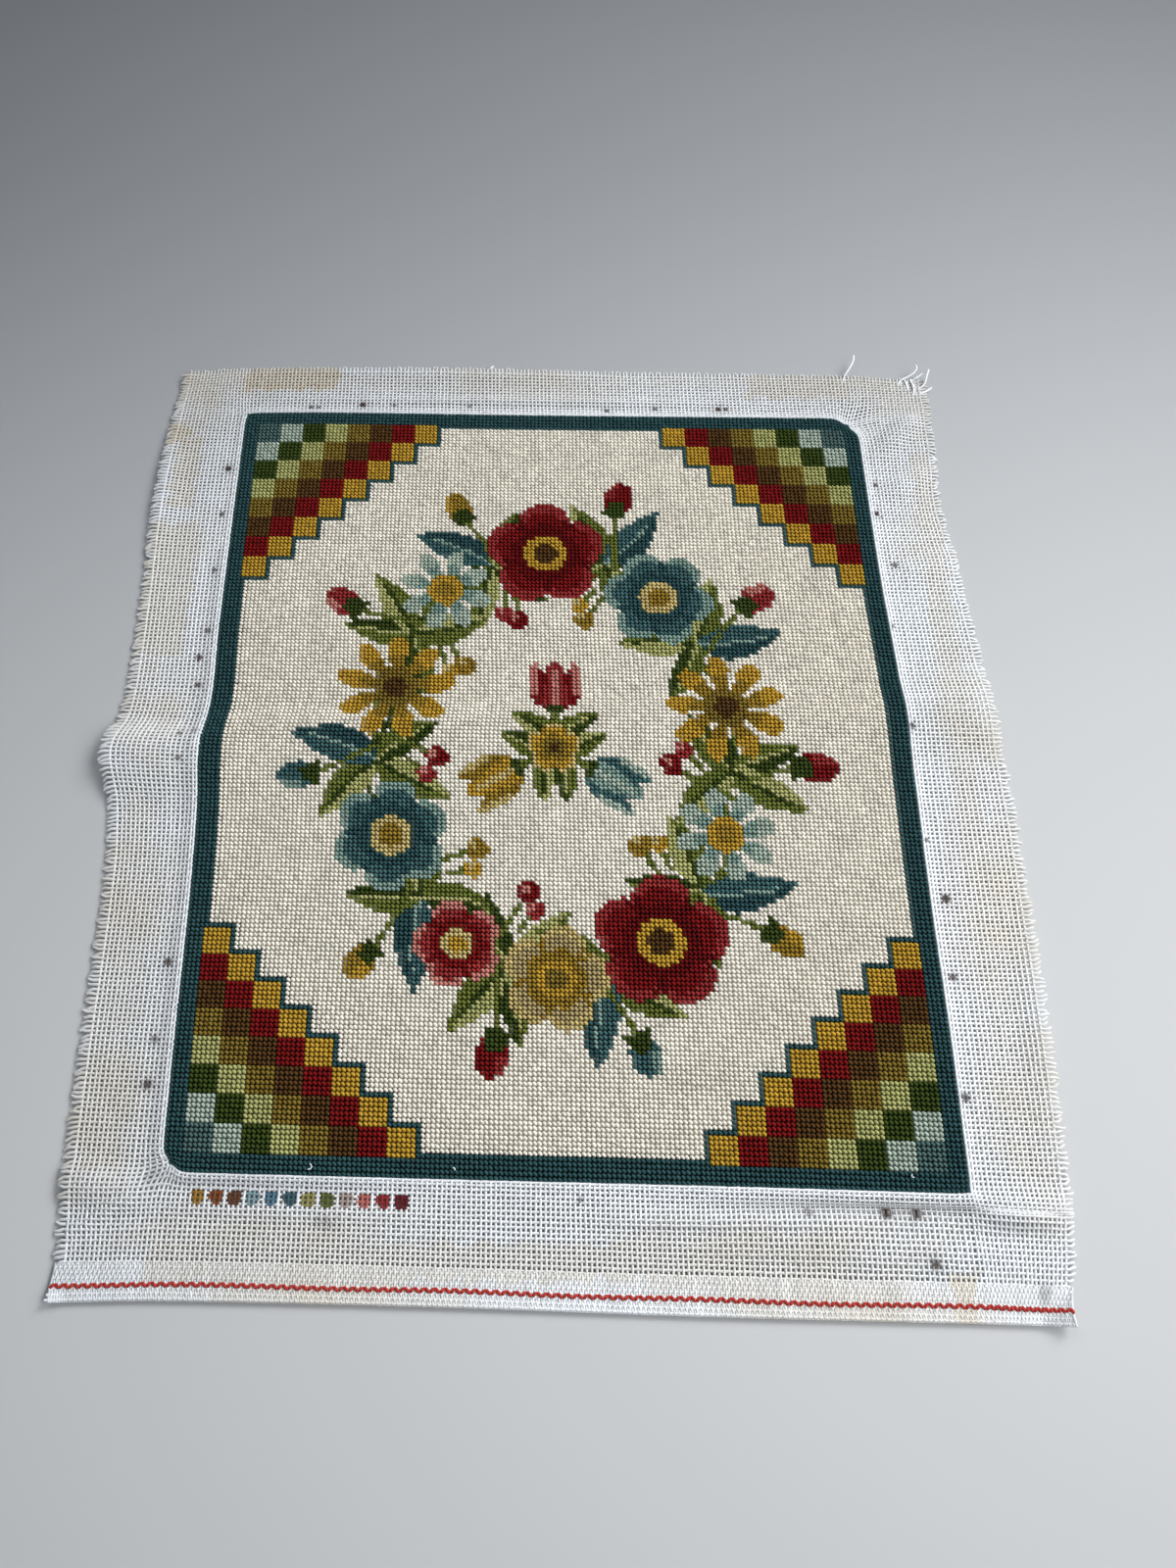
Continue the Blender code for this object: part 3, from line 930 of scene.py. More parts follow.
@dataclass(frozen=True)
class StageFinish:
    """The plain pale floor, darkened from near to far as painted shade.

    Fields are its linear tones near the camera and far off, the Y of both, its roughness and its shine.
    """

    near: tuple[float, float, float] = (0.54, 0.555, 0.572)
    far: tuple[float, float, float] = (0.245, 0.26, 0.28)
    near_y: float = -0.35
    far_y: float = 0.50
    roughness: float = 0.7
    shine: float = 0.3

    def material(self) -> bpy.types.Material:
        """Build the material.

        Returns:
            The material.
        """
        made = bpy.data.materials.new("plain pale floor")
        made.use_nodes = True
        graph = Graph(made.node_tree)
        place = graph.signal("ShaderNodeTexCoord", "Object")
        upwards = graph.signal("ShaderNodeSeparateXYZ", "Y", {}, {0: place})
        share = graph.signal(
            "ShaderNodeMapRange", "Result", {"interpolation_type": "SMOOTHSTEP"},
            {"Value": upwards, "From Min": self.near_y, "From Max": self.far_y},
        )
        # Painted shade: the floor's tone darkens from near_y to far_y.
        tone = graph.signal(
            "ShaderNodeMix", "Result", {"data_type": "RGBA"},
            {"Factor": share, "A": (*self.near, 1.0), "B": (*self.far, 1.0)},
        )
        shader = graph.add(
            "ShaderNodeBsdfPrincipled", {},
            {"Base Color": tone, "Roughness": self.roughness, "Specular IOR Level": self.shine},
        )
        graph.add("ShaderNodeOutputMaterial", {}, {"Surface": shader.outputs["BSDF"]})
        return made


def tree_with_inputs(name: str, inputs: tuple[tuple[str, str], ...]) -> tuple[Graph, dict[str, Signal]]:
    """Start a geometry tree with named inputs.

    Args:
        name: The tree's name.
        inputs: Pairs of an input's name and the last word of its socket type.

    Returns:
        The tree, and its inputs by name.
    """
    tree = bpy.data.node_groups.new(name, "GeometryNodeTree")
    graph = Graph(tree)
    for label, kind in (("Geometry", "Geometry"), *inputs):
        tree.interface.new_socket(label, in_out="INPUT", socket_type="NodeSocket" + kind)
    tree.interface.new_socket("Geometry", in_out="OUTPUT", socket_type="NodeSocketGeometry")
    entry = graph.add("NodeGroupInput")
    return graph, {label: Signal(graph, entry.outputs[label]) for label in ("Geometry", *dict(inputs))}


def close_tree(graph: Graph, geometry: Signal, finish: Signal) -> None:
    """End a geometry tree with real geometry, shaded round, in its finish.

    Args:
        graph: The tree.
        geometry: The geometry that the tree has made.
        finish: The material.
    """
    real = graph.signal("GeometryNodeRealizeInstances", 0, {}, {"Geometry": geometry})
    smooth = graph.signal("GeometryNodeSetShadeSmooth", 0, {}, {"Geometry": real})
    dressed = graph.signal("GeometryNodeSetMaterial", 0, {}, {"Geometry": smooth, "Material": finish})
    graph.add("NodeGroupOutput", {}, {"Geometry": dressed})


class Looms:
    """The geometry trees that make stitches and threads from counted points and lines."""

    def __init__(self) -> None:
        """Build both trees."""
        self.stitches = self.stitch_tree()
        self.threads = self.thread_tree()

    @staticmethod
    def stitch_tree() -> bpy.types.NodeTree:
        """One rounded stitch on each point, turned along its slant.

        Returns:
            The tree. It reads the attributes along, up and size of the points.
        """
        graph, given = tree_with_inputs("tent stitches", (
            ("Length", "Float"), ("Width", "Float"), ("Height", "Float"),
            ("Sides", "Int"), ("Rings", "Int"), ("Seed", "Int"),
            ("Turn Variation", "Float"), ("Size Variation", "Float"), ("Finish", "Material"),
        ))
        bead = graph.signal(
            "GeometryNodeMeshUVSphere", "Mesh", {},
            {"Segments": given["Sides"], "Rings": given["Rings"], "Radius": 0.5},
        )
        quarter_turn = (0.0, math.pi / 2, 0.0)
        lying = graph.signal("GeometryNodeTransform", 0, {}, {"Geometry": bead, "Rotation": quarter_turn})
        girth = graph.signal(
            "ShaderNodeCombineXYZ", 0, {}, {"X": given["Length"], "Y": given["Width"], "Z": given["Height"]}
        )
        sized = graph.signal("GeometryNodeTransform", 0, {}, {"Geometry": lying, "Scale": girth})
        vector = {"data_type": "FLOAT_VECTOR"}
        along, up, size = (
            graph.signal("GeometryNodeInputNamedAttribute", "Attribute", vector, {"Name": name})
            for name in ("along", "up", "size")
        )
        turned = graph.signal(
            "FunctionNodeAxesToRotation", "Rotation", {"primary_axis": "X", "secondary_axis": "Z"},
            {"Primary Axis": along, "Secondary Axis": up},
        )
        most, spread, seed = given["Turn Variation"], given["Size Variation"], given["Seed"]
        sway, swell = (
            graph.signal(
                "FunctionNodeRandomValue", "Value", vector,
                {"Min": lowest, "Max": highest, "Seed": source},
            )
            for lowest, highest, source in (
                (most * -1.0, most, seed), (1.0 - spread, 1.0 + spread, seed + 1.0),
            )
        )
        wobble = graph.signal("FunctionNodeEulerToRotation", 0, {}, {"Euler": sway})
        loose = graph.signal(
            "FunctionNodeRotateRotation", 0, {"rotation_space": "LOCAL"},
            {"Rotation": turned, "Rotate By": wobble},
        )
        swollen = graph.signal("ShaderNodeVectorMath", 0, {"operation": "MULTIPLY"}, {0: size, 1: swell})
        placed = graph.signal(
            "GeometryNodeInstanceOnPoints", 0, {},
            {"Points": given["Geometry"], "Instance": sized, "Rotation": loose, "Scale": swollen},
        )
        close_tree(graph, placed, given["Finish"])
        return graph.tree

    @staticmethod
    def thread_tree() -> bpy.types.NodeTree:
        """A flattened thread along each line of edges.

        Returns:
            The tree. It reads the attribute full, the thread's fullness, of the points.
        """
        graph, given = tree_with_inputs("laid threads", (
            ("Width", "Float"), ("Depth", "Float"), ("Sides", "Int"), ("Finish", "Material"),
        ))
        lines = graph.signal("GeometryNodeMeshToCurve", 0, {}, {"Mesh": given["Geometry"]})
        full = graph.signal(
            "GeometryNodeInputNamedAttribute", "Attribute", {"data_type": "FLOAT"}, {"Name": "full"}
        )
        level = graph.signal("GeometryNodeSetCurveNormal", 0, {"mode": "Z_UP"}, {"Curve": lines})
        wedge = math.pi / given["Sides"]
        reach = 0.5 / wedge.cosine()
        ring = graph.signal(
            "GeometryNodeCurvePrimitiveCircle", 0, {}, {"Resolution": given["Sides"], "Radius": reach}
        )
        turn = graph.signal("ShaderNodeCombineXYZ", 0, {}, {"Z": wedge})
        flat = graph.signal("GeometryNodeTransform", 0, {}, {"Geometry": ring, "Rotation": turn})
        girth = graph.signal(
            "ShaderNodeCombineXYZ", 0, {}, {"X": given["Width"], "Y": given["Depth"], "Z": 1.0}
        )
        section = graph.signal("GeometryNodeTransform", 0, {}, {"Geometry": flat, "Scale": girth})
        tube = graph.signal(
            "GeometryNodeCurveToMesh", 0, {},
            {"Curve": level, "Profile Curve": section, "Scale": full, "Fill Caps": True},
        )
        close_tree(graph, tube, given["Finish"])
        return graph.tree

    @staticmethod
    def make(name: str, source: bpy.types.Mesh, tree: bpy.types.NodeTree, values: dict) -> bpy.types.Object:
        """Run a tree on a source mesh and keep the result as a plain mesh.

        Args:
            name: Name of the piece.
            source: The points or lines.
            tree: The geometry tree.
            values: The tree's inputs, by name.

        Returns:
            The finished piece, in the scene.
        """
        piece = bpy.data.objects.new(name, source)
        bpy.context.scene.collection.objects.link(piece)
        modifier = piece.modifiers.new("loom", "NODES")
        modifier.node_group = tree
        for item in tree.interface.items_tree:
            if item.in_out == "INPUT" and item.name in values:
                modifier[item.identifier] = values[item.name]
        view = bpy.context.evaluated_depsgraph_get()
        made = bpy.data.meshes.new_from_object(piece.evaluated_get(view), depsgraph=view)
        piece.modifiers.clear()
        piece.data = made
        made.name = name
        bpy.data.meshes.remove(source)
        for spent in ("along", "up", "size", "full"):
            if spent in made.attributes:
                made.attributes.remove(made.attributes[spent])
        unroll_flat(made)
        return piece


def unroll_flat(mesh: bpy.types.Mesh) -> None:
    """Give a mesh a plain top-down UV map.

    Args:
        mesh: The mesh.
    """
    points = np.empty(len(mesh.vertices) * 3, np.float32)
    mesh.vertices.foreach_get("co", points)
    flat = points.reshape(-1, 3)[:, :2]
    low, high = flat.min(0), flat.max(0)
    flat = 0.01 + 0.98 * (flat - low) / (high - low)
    corner_points = np.empty(len(mesh.loops), np.int32)
    mesh.loops.foreach_get("vertex_index", corner_points)
    layer = mesh.uv_layers.new(name="OFBake")
    layer.data.foreach_set("uv", flat[corner_points].astype(np.float32).ravel())


def put_attribute(mesh: bpy.types.Mesh, name: str, values: np.ndarray, domain: str = "POINT") -> None:
    """Store values on a mesh as a named attribute.

    Args:
        mesh: The mesh.
        name: The attribute's name; "dye" is a colour, which gets full alpha.
        values: One number or one row of three for each element.
        domain: The kind of element.
    """
    values = np.asarray(values, np.float32)
    if name == "dye":
        kind, field = "FLOAT_COLOR", "color"
        values = np.column_stack([values, np.ones(len(values), np.float32)])
    elif values.ndim == 2:
        kind, field = "FLOAT_VECTOR", "vector"
    else:
        kind, field = "FLOAT", "value"
    layer = mesh.attributes.new(name, kind, domain)
    layer.data.foreach_set(field, np.ascontiguousarray(values, np.float32).ravel())


def point_mesh(name: str, points: np.ndarray) -> bpy.types.Mesh:
    """Make a mesh of bare points.

    Args:
        name: The mesh's name.
        points: One row of X, Y and Z for each point.

    Returns:
        The mesh.
    """
    mesh = bpy.data.meshes.new(name)
    mesh.vertices.add(len(points))
    mesh.vertices.foreach_set("co", points.astype(np.float32).ravel())
    return mesh


@dataclass
class Stitching:
    """The tent stitches, each over one crossing of the canvas.

    Fields are a stitch's length, width and height, the sides and rings of its form, the height of its
    middle above the cloth's underside, how far the outermost stitches droop, how far in rows its ends
    fall from its middle, how far stitches stray, turn, swell and vary in tone, and the slant and the
    spacing for which the length and the width are meant.
    """

    lay: Lay
    chart: Chart
    looms: Looms
    length: float = 0.00262
    width: float = 0.00196
    height: float = 0.0020
    sides: int = 4
    rings: int = 3
    middle: float = 0.0021
    droop: float = 0.0003
    fall: float = 0.41
    stray: float = 0.00006
    turn: float = 0.08
    swell: float = 0.06
    tone: float = 0.08
    slant_length: float = 0.00274
    row_spacing: float = 0.00164

    def piece(
        self, name: str, where: np.ndarray, finish: bpy.types.Material, seed: int
    ) -> bpy.types.Object:
        """Work the marked stitches as one piece.

        Args:
            name: Name of the piece.
            where: Marks on the chart.
            finish: The wool's material.
            seed: Seed of the piece's variation.

        Returns:
            The finished piece.
        """
        random = np.random.default_rng(seed)
        rows, columns = np.nonzero(where)
        head = self.lay.points(columns, rows + 0.5 + self.fall)
        foot = self.lay.points(columns + 1, rows + 0.5 - self.fall)
        low = self.lay.points(columns, rows)
        high = self.lay.points(columns + 1, rows + 1)
        along = foot - head
        up = np.cross(along, high - low)
        up /= np.linalg.norm(up, axis=1)[:, None]
        length = np.linalg.norm(along, axis=1)
        rim = np.minimum(
            np.minimum(columns, FIELD_COLUMNS - 1 - columns), np.minimum(rows, FIELD_ROWS - 1 - rows)
        )
        middle = self.middle - self.droop * (rim == 0)
        count = len(rows)
        points = (head + foot) / 2 + up * middle[:, None] + random.normal(0, self.stray, (count, 3))
        row_step = self.lay.points(columns + 0.5, rows + 1) - self.lay.points(columns + 0.5, rows)
        across = np.cross(row_step, along)
        spacing = np.linalg.norm(across, axis=1) / length
        size = np.column_stack([length / self.slant_length, spacing / self.row_spacing, np.ones(count)])
        dyes = WOOL_DYES[self.chart.wool[rows, columns]]
        dyes = dyes * random.normal(1, self.tone, (count, 1)).clip(0.75, 1.25)
        mesh = point_mesh(name + " points", points)
        for label, values in (("along", along), ("up", up), ("size", size), ("dye", dyes)):
            put_attribute(mesh, label, values)
        return self.looms.make(name, mesh, self.looms.stitches, {
            "Length": self.length, "Width": self.width, "Height": self.height, "Sides": self.sides,
            "Rings": self.rings, "Turn Variation": self.turn, "Size Variation": self.swell, "Seed": seed,
            "Finish": finish,
        })

    def build(self) -> list[bpy.types.Object]:
        """Work the whole field, in pieces that stand for the frame's worked areas.

        Returns:
            The finished pieces.
        """
        chart = self.chart
        teal = YarnFinish("teal tapestry wool").material()
        cream = YarnFinish("cream tapestry wool").material()
        mixed = YarnFinish("check tapestry wools").material()
        plain = chart.wool == WOOLS.index(Wool.CREAM)
        lower = chart.row < FIELD_ROWS / 2
        made = []

        def add(name: str, where: np.ndarray, finish: bpy.types.Material, node: str) -> None:
            """Work one piece and put it in its node's place.

            Args:
                name: Name of the piece.
                where: Marks on the chart.
                finish: The wool's material.
                node: The node that the piece stands for.
            """
            piece = self.piece(name, where, finish, seed=11 + 2 * len(made))
            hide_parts(node)
            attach(piece, BODY)
            made.append(piece)
            LOG.info("%s: %d stitches", name, int(where.sum()))

        add("border_stitches", chart.frame, teal, "border_stitching")
        add("ground_stitches_lower", chart.ground & plain & lower, cream, "ground_stitching")
        add("ground_stitches_upper", chart.ground & plain & ~lower, cream, "ground_stitching")
        add("flower_stitches", chart.ground & ~plain, mixed, "ground_stitching")
        left = chart.column < FIELD_COLUMNS / 2
        for corner in FIELD_CORNERS:
            block = left if corner.endswith("left") else ~left
            block = block & (lower if corner.startswith("bottom") else ~lower)
            add("check_stitches_" + corner, chart.checks & block, mixed, "checks_" + corner)
            outline = chart.outline & block
            add("outline_stitches_" + corner, outline, teal, "step_outline_" + corner)
        return made


class Strands:
    """Centre lines of threads, with the fullness and the colour, any painted shade included, of each point.
    """

    def __init__(self) -> None:
        """Start with no lines."""
        self.points: list[np.ndarray] = []
        self.full: list[np.ndarray] = []
        self.dye: list[np.ndarray] = []

    def add(self, points: np.ndarray, full: np.ndarray | float, dye: np.ndarray) -> None:
        """Add one line.

        Args:
            points: Its points, in order.
            full: Fullness of the thread, at each point or all along.
            dye: Colour of each point, or of all.
        """
        count = len(points)
        self.points.append(points)
        self.full.append(np.broadcast_to(full, count))
        self.dye.append(np.broadcast_to(dye, (count, 3)))

    def mesh(self, name: str) -> bpy.types.Mesh:
        """Put all lines into one mesh of edges.

        Args:
            name: The mesh's name.

        Returns:
            The mesh, with the fullness and the dye as attributes.
        """
        lengths = [len(points) for points in self.points]
        first = np.delete(np.arange(sum(lengths)), np.cumsum(lengths) - 1)
        mesh = point_mesh(name, np.concatenate(self.points))
        mesh.edges.add(len(first))
        mesh.edges.foreach_set("vertices", np.column_stack([first, first + 1]).astype(np.int32).ravel())
        put_attribute(mesh, "full", np.concatenate(self.full))
        put_attribute(mesh, "dye", np.concatenate(self.dye))
        return mesh


@dataclass(frozen=True)
class CottonTones:
    """Where the cotton is stained, marked or dotted, and where shade is painted on it.

    Places are in metres about the middle of the cloth, and counted places in canvas threads. Fields are
    the tones of clean, stained and rusty cotton and of the tracer thread, how stained the cloth is all
    over and in its grain, the counts past the worked field by which it is fully stained, how far painted
    shade darkens the top, the left and the upper right, how far painted shadow darkens the threads beside
    and below the frame, how far a thread's tone varies, and the step, radius, first place and strength of
    the colour dots.
    """

    clean: tuple[float, float, float] = (226, 231, 237)
    tan: tuple[float, float, float] = (204, 188, 156)
    rust: tuple[float, float, float] = (52, 28, 20)
    tracer: tuple[float, float, float] = (170, 56, 50)
    stain: float = 0.12
    stain_grain: float = 0.06
    stain_reach: float = 7.0
    painted_shade_top: float = 0.20
    painted_shade_left: float = 0.07
    painted_shade_right: float = 0.12
    shaded_beside: float = 0.18
    shaded_below: float = 0.28
    variation: float = 0.035
    dot_step: float = 3.77
    dot_radius: float = 1.42
    first_dot: tuple[float, float] = (8.0, -5.3)
    dot_strength: float = 0.6

    # Columns: left, bottom, right, top of an old tape mark, strength
    tape_marks = (
        (-0.1854, 0.2465, -0.1296, 0.2632, 0.85),
        (-0.1296, 0.2450, 0.1130, 0.2560, 0.22),
        (0.1128, 0.2367, 0.1713, 0.2534, 0.50),
        (-0.2250, 0.2061, -0.2132, 0.2200, 0.75),
        (-0.2180, 0.1615, -0.2050, 0.2100, 0.50),
        (-0.2240, 0.0650, -0.1980, 0.1500, 0.45),
        (-0.2120, -0.1400, -0.1990, -0.0200, 0.30),
        (-0.2049, -0.1952, -0.1881, -0.1506, 0.50),
        (-0.1686, -0.2400, 0.0626, -0.2262, 0.40),
        (0.1735, -0.2575, 0.1820, -0.2370, 0.60),
        (0.2019, -0.0698, 0.2131, 0.1949, 0.36),
        (0.2050, -0.1700, 0.2200, -0.0900, 0.30),
    )
    # Columns: count across and count up of a rust mark left by a tack, radius in counts, strength
    tack_marks = (
        (17.5, 196.5, 0.6, 0.9), (19.5, 196.5, 0.5, 0.8), (31.5, 197.5, 0.9, 1.0),
        (40.0, 197.5, 0.5, 0.8), (60.5, 197.5, 0.5, 0.7), (97.5, 196.5, 0.6, 0.9),
        (110.5, 197.5, 0.6, 0.8), (127.5, 197.5, 0.8, 1.0), (129.5, 197.5, 0.6, 0.9),
        (-3.5, 175.5, 0.9, 1.0), (-3.5, 161.0, 0.7, 0.9), (-3.7, 144.0, 0.6, 0.9),
        (-3.3, 126.5, 0.8, 0.8), (-4.8, 119.0, 0.7, 1.0), (-4.3, 111.5, 0.7, 0.9),
        (-2.2, 99.0, 0.7, 0.5), (165.2, 130.5, 0.5, 0.8), (165.2, 103.0, 0.7, 0.9),
        (165.3, 75.5, 0.5, 0.8), (-4.8, 91.5, 0.6, 0.7), (-5.3, 98.0, 0.5, 0.8),
        (-4.0, 44.0, 0.9, 0.9), (-5.0, 27.0, 0.8, 0.7), (-5.5, 17.5, 1.0, 0.9),
        (167.5, 172.5, 0.6, 0.9), (166.5, 163.5, 0.7, 1.0), (169.0, 148.0, 0.7, 0.9),
        (168.0, 62.0, 0.9, 1.0), (167.0, 44.5, 0.8, 0.9), (166.0, 19.0, 0.9, 0.9),
        (85.5, -4.0, 0.5, 0.7), (131.0, -6.0, 0.7, 0.6), (146.5, -6.0, 1.1, 1.0),
        (152.5, -6.0, 1.0, 1.0), (155.0, -14.5, 0.9, 0.9), (34.0, -9.5, 1.4, 0.3),
        (178.5, -19.0, 1.6, 0.35),
    )
    # Tones of the colour dots, from left to right
    dots = (
        (186, 140, 62), (156, 88, 48), (116, 74, 52), (150, 180, 190), (98, 140, 164), (78, 112, 122),
        (172, 166, 104), (112, 120, 62), (196, 180, 172), (206, 122, 112), (164, 54, 56), (116, 40, 46),
    )

    def closer(self, counts: np.ndarray, line: float, weft: bool) -> np.ndarray:
        """Add counts beside the tack marks and dots that a thread passes, so that their edges stay clear.

        Args:
            counts: Counts along the thread.
            line: The thread's own count.
            weft: Whether the thread runs up the cloth.

        Returns:
            The counts with the added ones, rising.
        """
        through_tack, round_dot = (-1.4, -0.7, 0.0, 0.7, 1.4), (-1.08, -0.92, 0.92, 1.08)
        marks = [(column, row, radius, through_tack) for column, row, radius, _ in self.tack_marks]
        for dot in range(len(self.dots)):
            column, row = self.first_dot[0] + self.dot_step * dot, self.first_dot[1]
            marks.append((column, row, self.dot_radius, round_dot))
        added = [
            (row if weft else column) + step * radius
            for column, row, radius, steps in marks
            if abs((column if weft else row) - line) < 1.3 * radius + 0.3
            for step in steps
        ]
        inside = [count for count in added if counts[0] < count < counts[-1]]
        return np.unique(np.concatenate([counts, inside]).round(3))

    def at(
        self, x: np.ndarray, y: np.ndarray, columns: np.ndarray, rows: np.ndarray, seed: int
    ) -> np.ndarray:
        """Tone of the cotton at places on the cloth.

        Args:
            x: X about the middle of the cloth.
            y: Y about the middle of the cloth.
            columns: The same places' counts across.
            rows: The same places' counts up.
            seed: Seed of the small variation.

        Returns:
            One linear colour for each place.
        """
        random = np.random.default_rng(seed)
        clean, tan, rust = linear(self.clean), linear(self.tan), linear(self.rust)
        # Crossed waves make the ragged edges, the broad stains and their grain; counts in radians a metre
        ragged = 0.0012 * (np.sin(x * 410 + 3 * np.sin(y * 270)) + np.sin(y * 530 + 2 * np.sin(x * 330)))
        stained = self.stain * (1 + np.sin(x * 31 + 2 * np.sin(y * 23)) * np.sin(y * 37 + 1.3))
        grain = np.sin(x * 83 + 3 * np.sin(y * 71)) * np.sin(y * 97 + 2 * np.sin(x * 61))
        beyond = np.maximum(past(columns, FIELD_COLUMNS), past(rows, FIELD_ROWS)) / self.stain_reach
        stained = np.clip((stained + self.stain_grain * grain) * np.clip(beyond, 0.15, 1.6), 0, 1)
        for left, bottom, right, top, strength in self.tape_marks:
            outside = np.maximum(np.abs(x - (left + right) / 2) - (right - left) / 2,
                                 np.abs(y - (bottom + top) / 2) - (top - bottom) / 2)
            edge = np.clip(0.5 - (outside + ragged) / 0.003, 0, 1)
            rim = np.exp(-((outside + ragged) / 0.002) ** 2)
            stained = np.maximum(stained, strength * (0.75 * edge + 0.25 * rim))
        # Painted shade darkens the top, the left and the upper right of the cloth. Painted shadow darkens
        # the threads just beside the frame's left side and just below its left part.
        shade = self.painted_shade_top * np.clip((y - 0.12) / 0.12, 0, 1)
        shade += self.painted_shade_left * np.clip(-x / 0.2, 0, 1)
        shade += self.painted_shade_right * np.clip((x - 0.05) / 0.12, 0, 1) * np.clip((y + 0.08) / 0.12, 0, 1)
        beside_field = np.exp(-(((columns + 3.2) / 1.4) ** 2)) * ((rows > -2) & (rows < 150))
        left_part = (columns > -4) * np.clip((60 - columns) / 40, 0, 1)
        below_field = np.exp(-(((rows + 2.4) / 1.4) ** 2)) * left_part
        shade += self.shaded_beside * beside_field + self.shaded_below * below_field
        colour = (clean + (tan - clean) * stained[:, None]) * (1 - shade)[:, None]
        for column, row, radius, strength in self.tack_marks:
            away = ((columns - column) ** 2 + (rows - row) ** 2) / (1.2 * radius) ** 2
            near, halo = np.exp(-(away**2)), 0.2 * np.exp(-away / 4)
            colour = colour + (rust - colour) * (strength * np.maximum(near, halo))[:, None]
        across, up = columns - self.first_dot[0], rows - self.first_dot[1]
        order = np.clip(np.rint(across / self.dot_step), 0, len(self.dots) - 1).astype(int)
        within = np.abs(across - order * self.dot_step) ** 4 + np.abs(up) ** 4 < self.dot_radius**4
        dot_tones = np.array([linear(tone) for tone in self.dots])
        colour[within] = self.dot_strength * dot_tones[order[within]]
        return colour * random.normal(1, self.variation, (len(x), 1)).clip(0.9, 1.1)


@dataclass
class Canvas:
    """The open cotton canvas, its selvedge, its raw edges and the worked sheet under the wool.

    Lengths are in metres and places in counts. A thread has a width, a depth and a wave, by which it
    rises and sinks at each crossing. The bare canvas is raised, more so by the wool; it keeps that height
    for slope_start counts past the field and loses it over slope_run. Threads tuck in under the wool by
    some counts and are sunk there. Some are frayed off the sides and the top, and all wander.

    The worked sheet has cells of some counts, a low and a high face and an inset; its high face, seen in
    the gaps between the stitches, is darkened as painted shade by a least share of the wool's tone and a
    share that grows with it. The selvedge's ribs have a step, a width, a depth, a wave and a lean, and its
    edge is rolled up over some rows. Threads are drawn in beside the field by some counts; that fades
    outwards over drawn_reach and past the field's ends over drawn_past. The fold has a row, a reach, a
    depth in rows and the columns over which it deepens; its pressed rows are darkened as painted shade. The
    tracer, the fringe and the tails have a width and a depth. The finish is the cotton's material, which
    build makes.
    """

    lay: Lay
    chart: Chart
    looms: Looms
    tones: CottonTones
    width: float = 0.00110
    depth: float = 0.00054
    wave: float = 0.00005
    raised: float = 0.00140
    raised_by_wool: float = 0.00045
    slope_start: float = 0.9
    slope_run: float = 2.2
    sunk: float = 0.0007
    tuck: float = 0.5
    frayed: int = 2
    frayed_top: int = 1
    wander: float = 0.035
    cell: int = 2
    sheet_low: float = 0.0001
    sheet_high: float = 0.0011
    sheet_inset: float = 0.35
    painted_face_shade: tuple[float, float] = (0.12, 0.85)
    rib_step: float = 0.5
    rib_width: float = 0.00112
    rib_depth: float = 0.0006
    rib_wave: float = 0.00010
    rib_lean: float = 0.9
    rolled: float = 0.0005
    rolled_rows: float = 3.0
    drawn_rows: float = 0.85
    drawn_columns: float = 0.85
    drawn_reach: float = 1.3
    drawn_past: float = 6.0
    fold_row: float = -4.2
    fold_reach: float = 1.7
    fold_depth: float = 1.5
    fold_columns: tuple[float, float] = (95.0, 150.0)
    tracer_size: tuple[float, float] = (0.00125, 0.0007)
    fringe_size: tuple[float, float] = (0.00125, 0.0008)
    tail_size: tuple[float, float] = (0.0011, 0.0009)
    finish: bpy.types.Material | None = None

    def heights(self, columns: np.ndarray, rows: np.ndarray, weft: bool) -> np.ndarray:
        """Middle heights of a thread where it passes over and under the crossing threads.

        Args:
            columns: Counts across.
            rows: Counts up.
            weft: Whether the thread runs up the cloth.

        Returns:
            Metres above the cloth's underside.
        """
        over = (np.floor(columns) + np.floor(rows)) % 2 == (0 if weft else 1)
        return self.carried(columns, rows) + np.where(over, self.wave, -self.wave)

    def carried(self, columns: np.ndarray, rows: np.ndarray) -> np.ndarray:
        """Middle height of the bare canvas, which the thicker worked field holds up.

        Args:
            columns: Counts across.
            rows: Counts up.

        Returns:
            Metres above the cloth's underside, with the fine wrinkles.
        """
        outside = np.hypot(past(columns, FIELD_COLUMNS), past(rows, FIELD_ROWS))
        under_wool = np.clip(1 - outside / 0.5, 0, 1)
        held = 1 - eased((outside - self.slope_start) / self.slope_run)
        x, y = self.lay.place(columns, rows)
        folds = self.lay.lift(x, y, WRINKLES) * np.clip(outside - 0.5, 0, 1)
        return self.raised + self.raised_by_wool * held - self.sunk * under_wool + folds

    def crowd(self, columns: np.ndarray, rows: np.ndarray) -> tuple[np.ndarray, np.ndarray]:
        """Draw the margins' threads closer together beside the worked field.

        Args:
            columns: Counts across.
            rows: Counts up.

        Returns:
            The counts at which the drawn threads lie.
        """
        moved = []
        past_columns, past_rows = past(columns, FIELD_COLUMNS), past(rows, FIELD_ROWS)
        sides = (
            (columns, FIELD_COLUMNS, MARGIN_LEFT - self.frayed, MARGIN_RIGHT - self.frayed,
             self.drawn_columns * np.exp(-past_rows / self.drawn_past)),
            (rows, FIELD_ROWS, MARGIN_BOTTOM - SELVEDGE, MARGIN_TOP - self.frayed_top,
             self.drawn_rows * np.exp(-past_columns / self.drawn_past)),
        )
        for counts, field, before, after, drawn in sides:
            low, high = np.maximum(-counts, 0), np.maximum(counts - field, 0)
            near_low = drawn * (1 - np.exp(-low / self.drawn_reach)) * np.clip(1 - low / before, 0, 1)
            near_high = drawn * (1 - np.exp(-high / self.drawn_reach)) * np.clip(1 - high / after, 0, 1)
            moved.append(counts + near_low - near_high)
        gone, _ = self.fold(columns, rows)
        return moved[0], moved[1] + gone

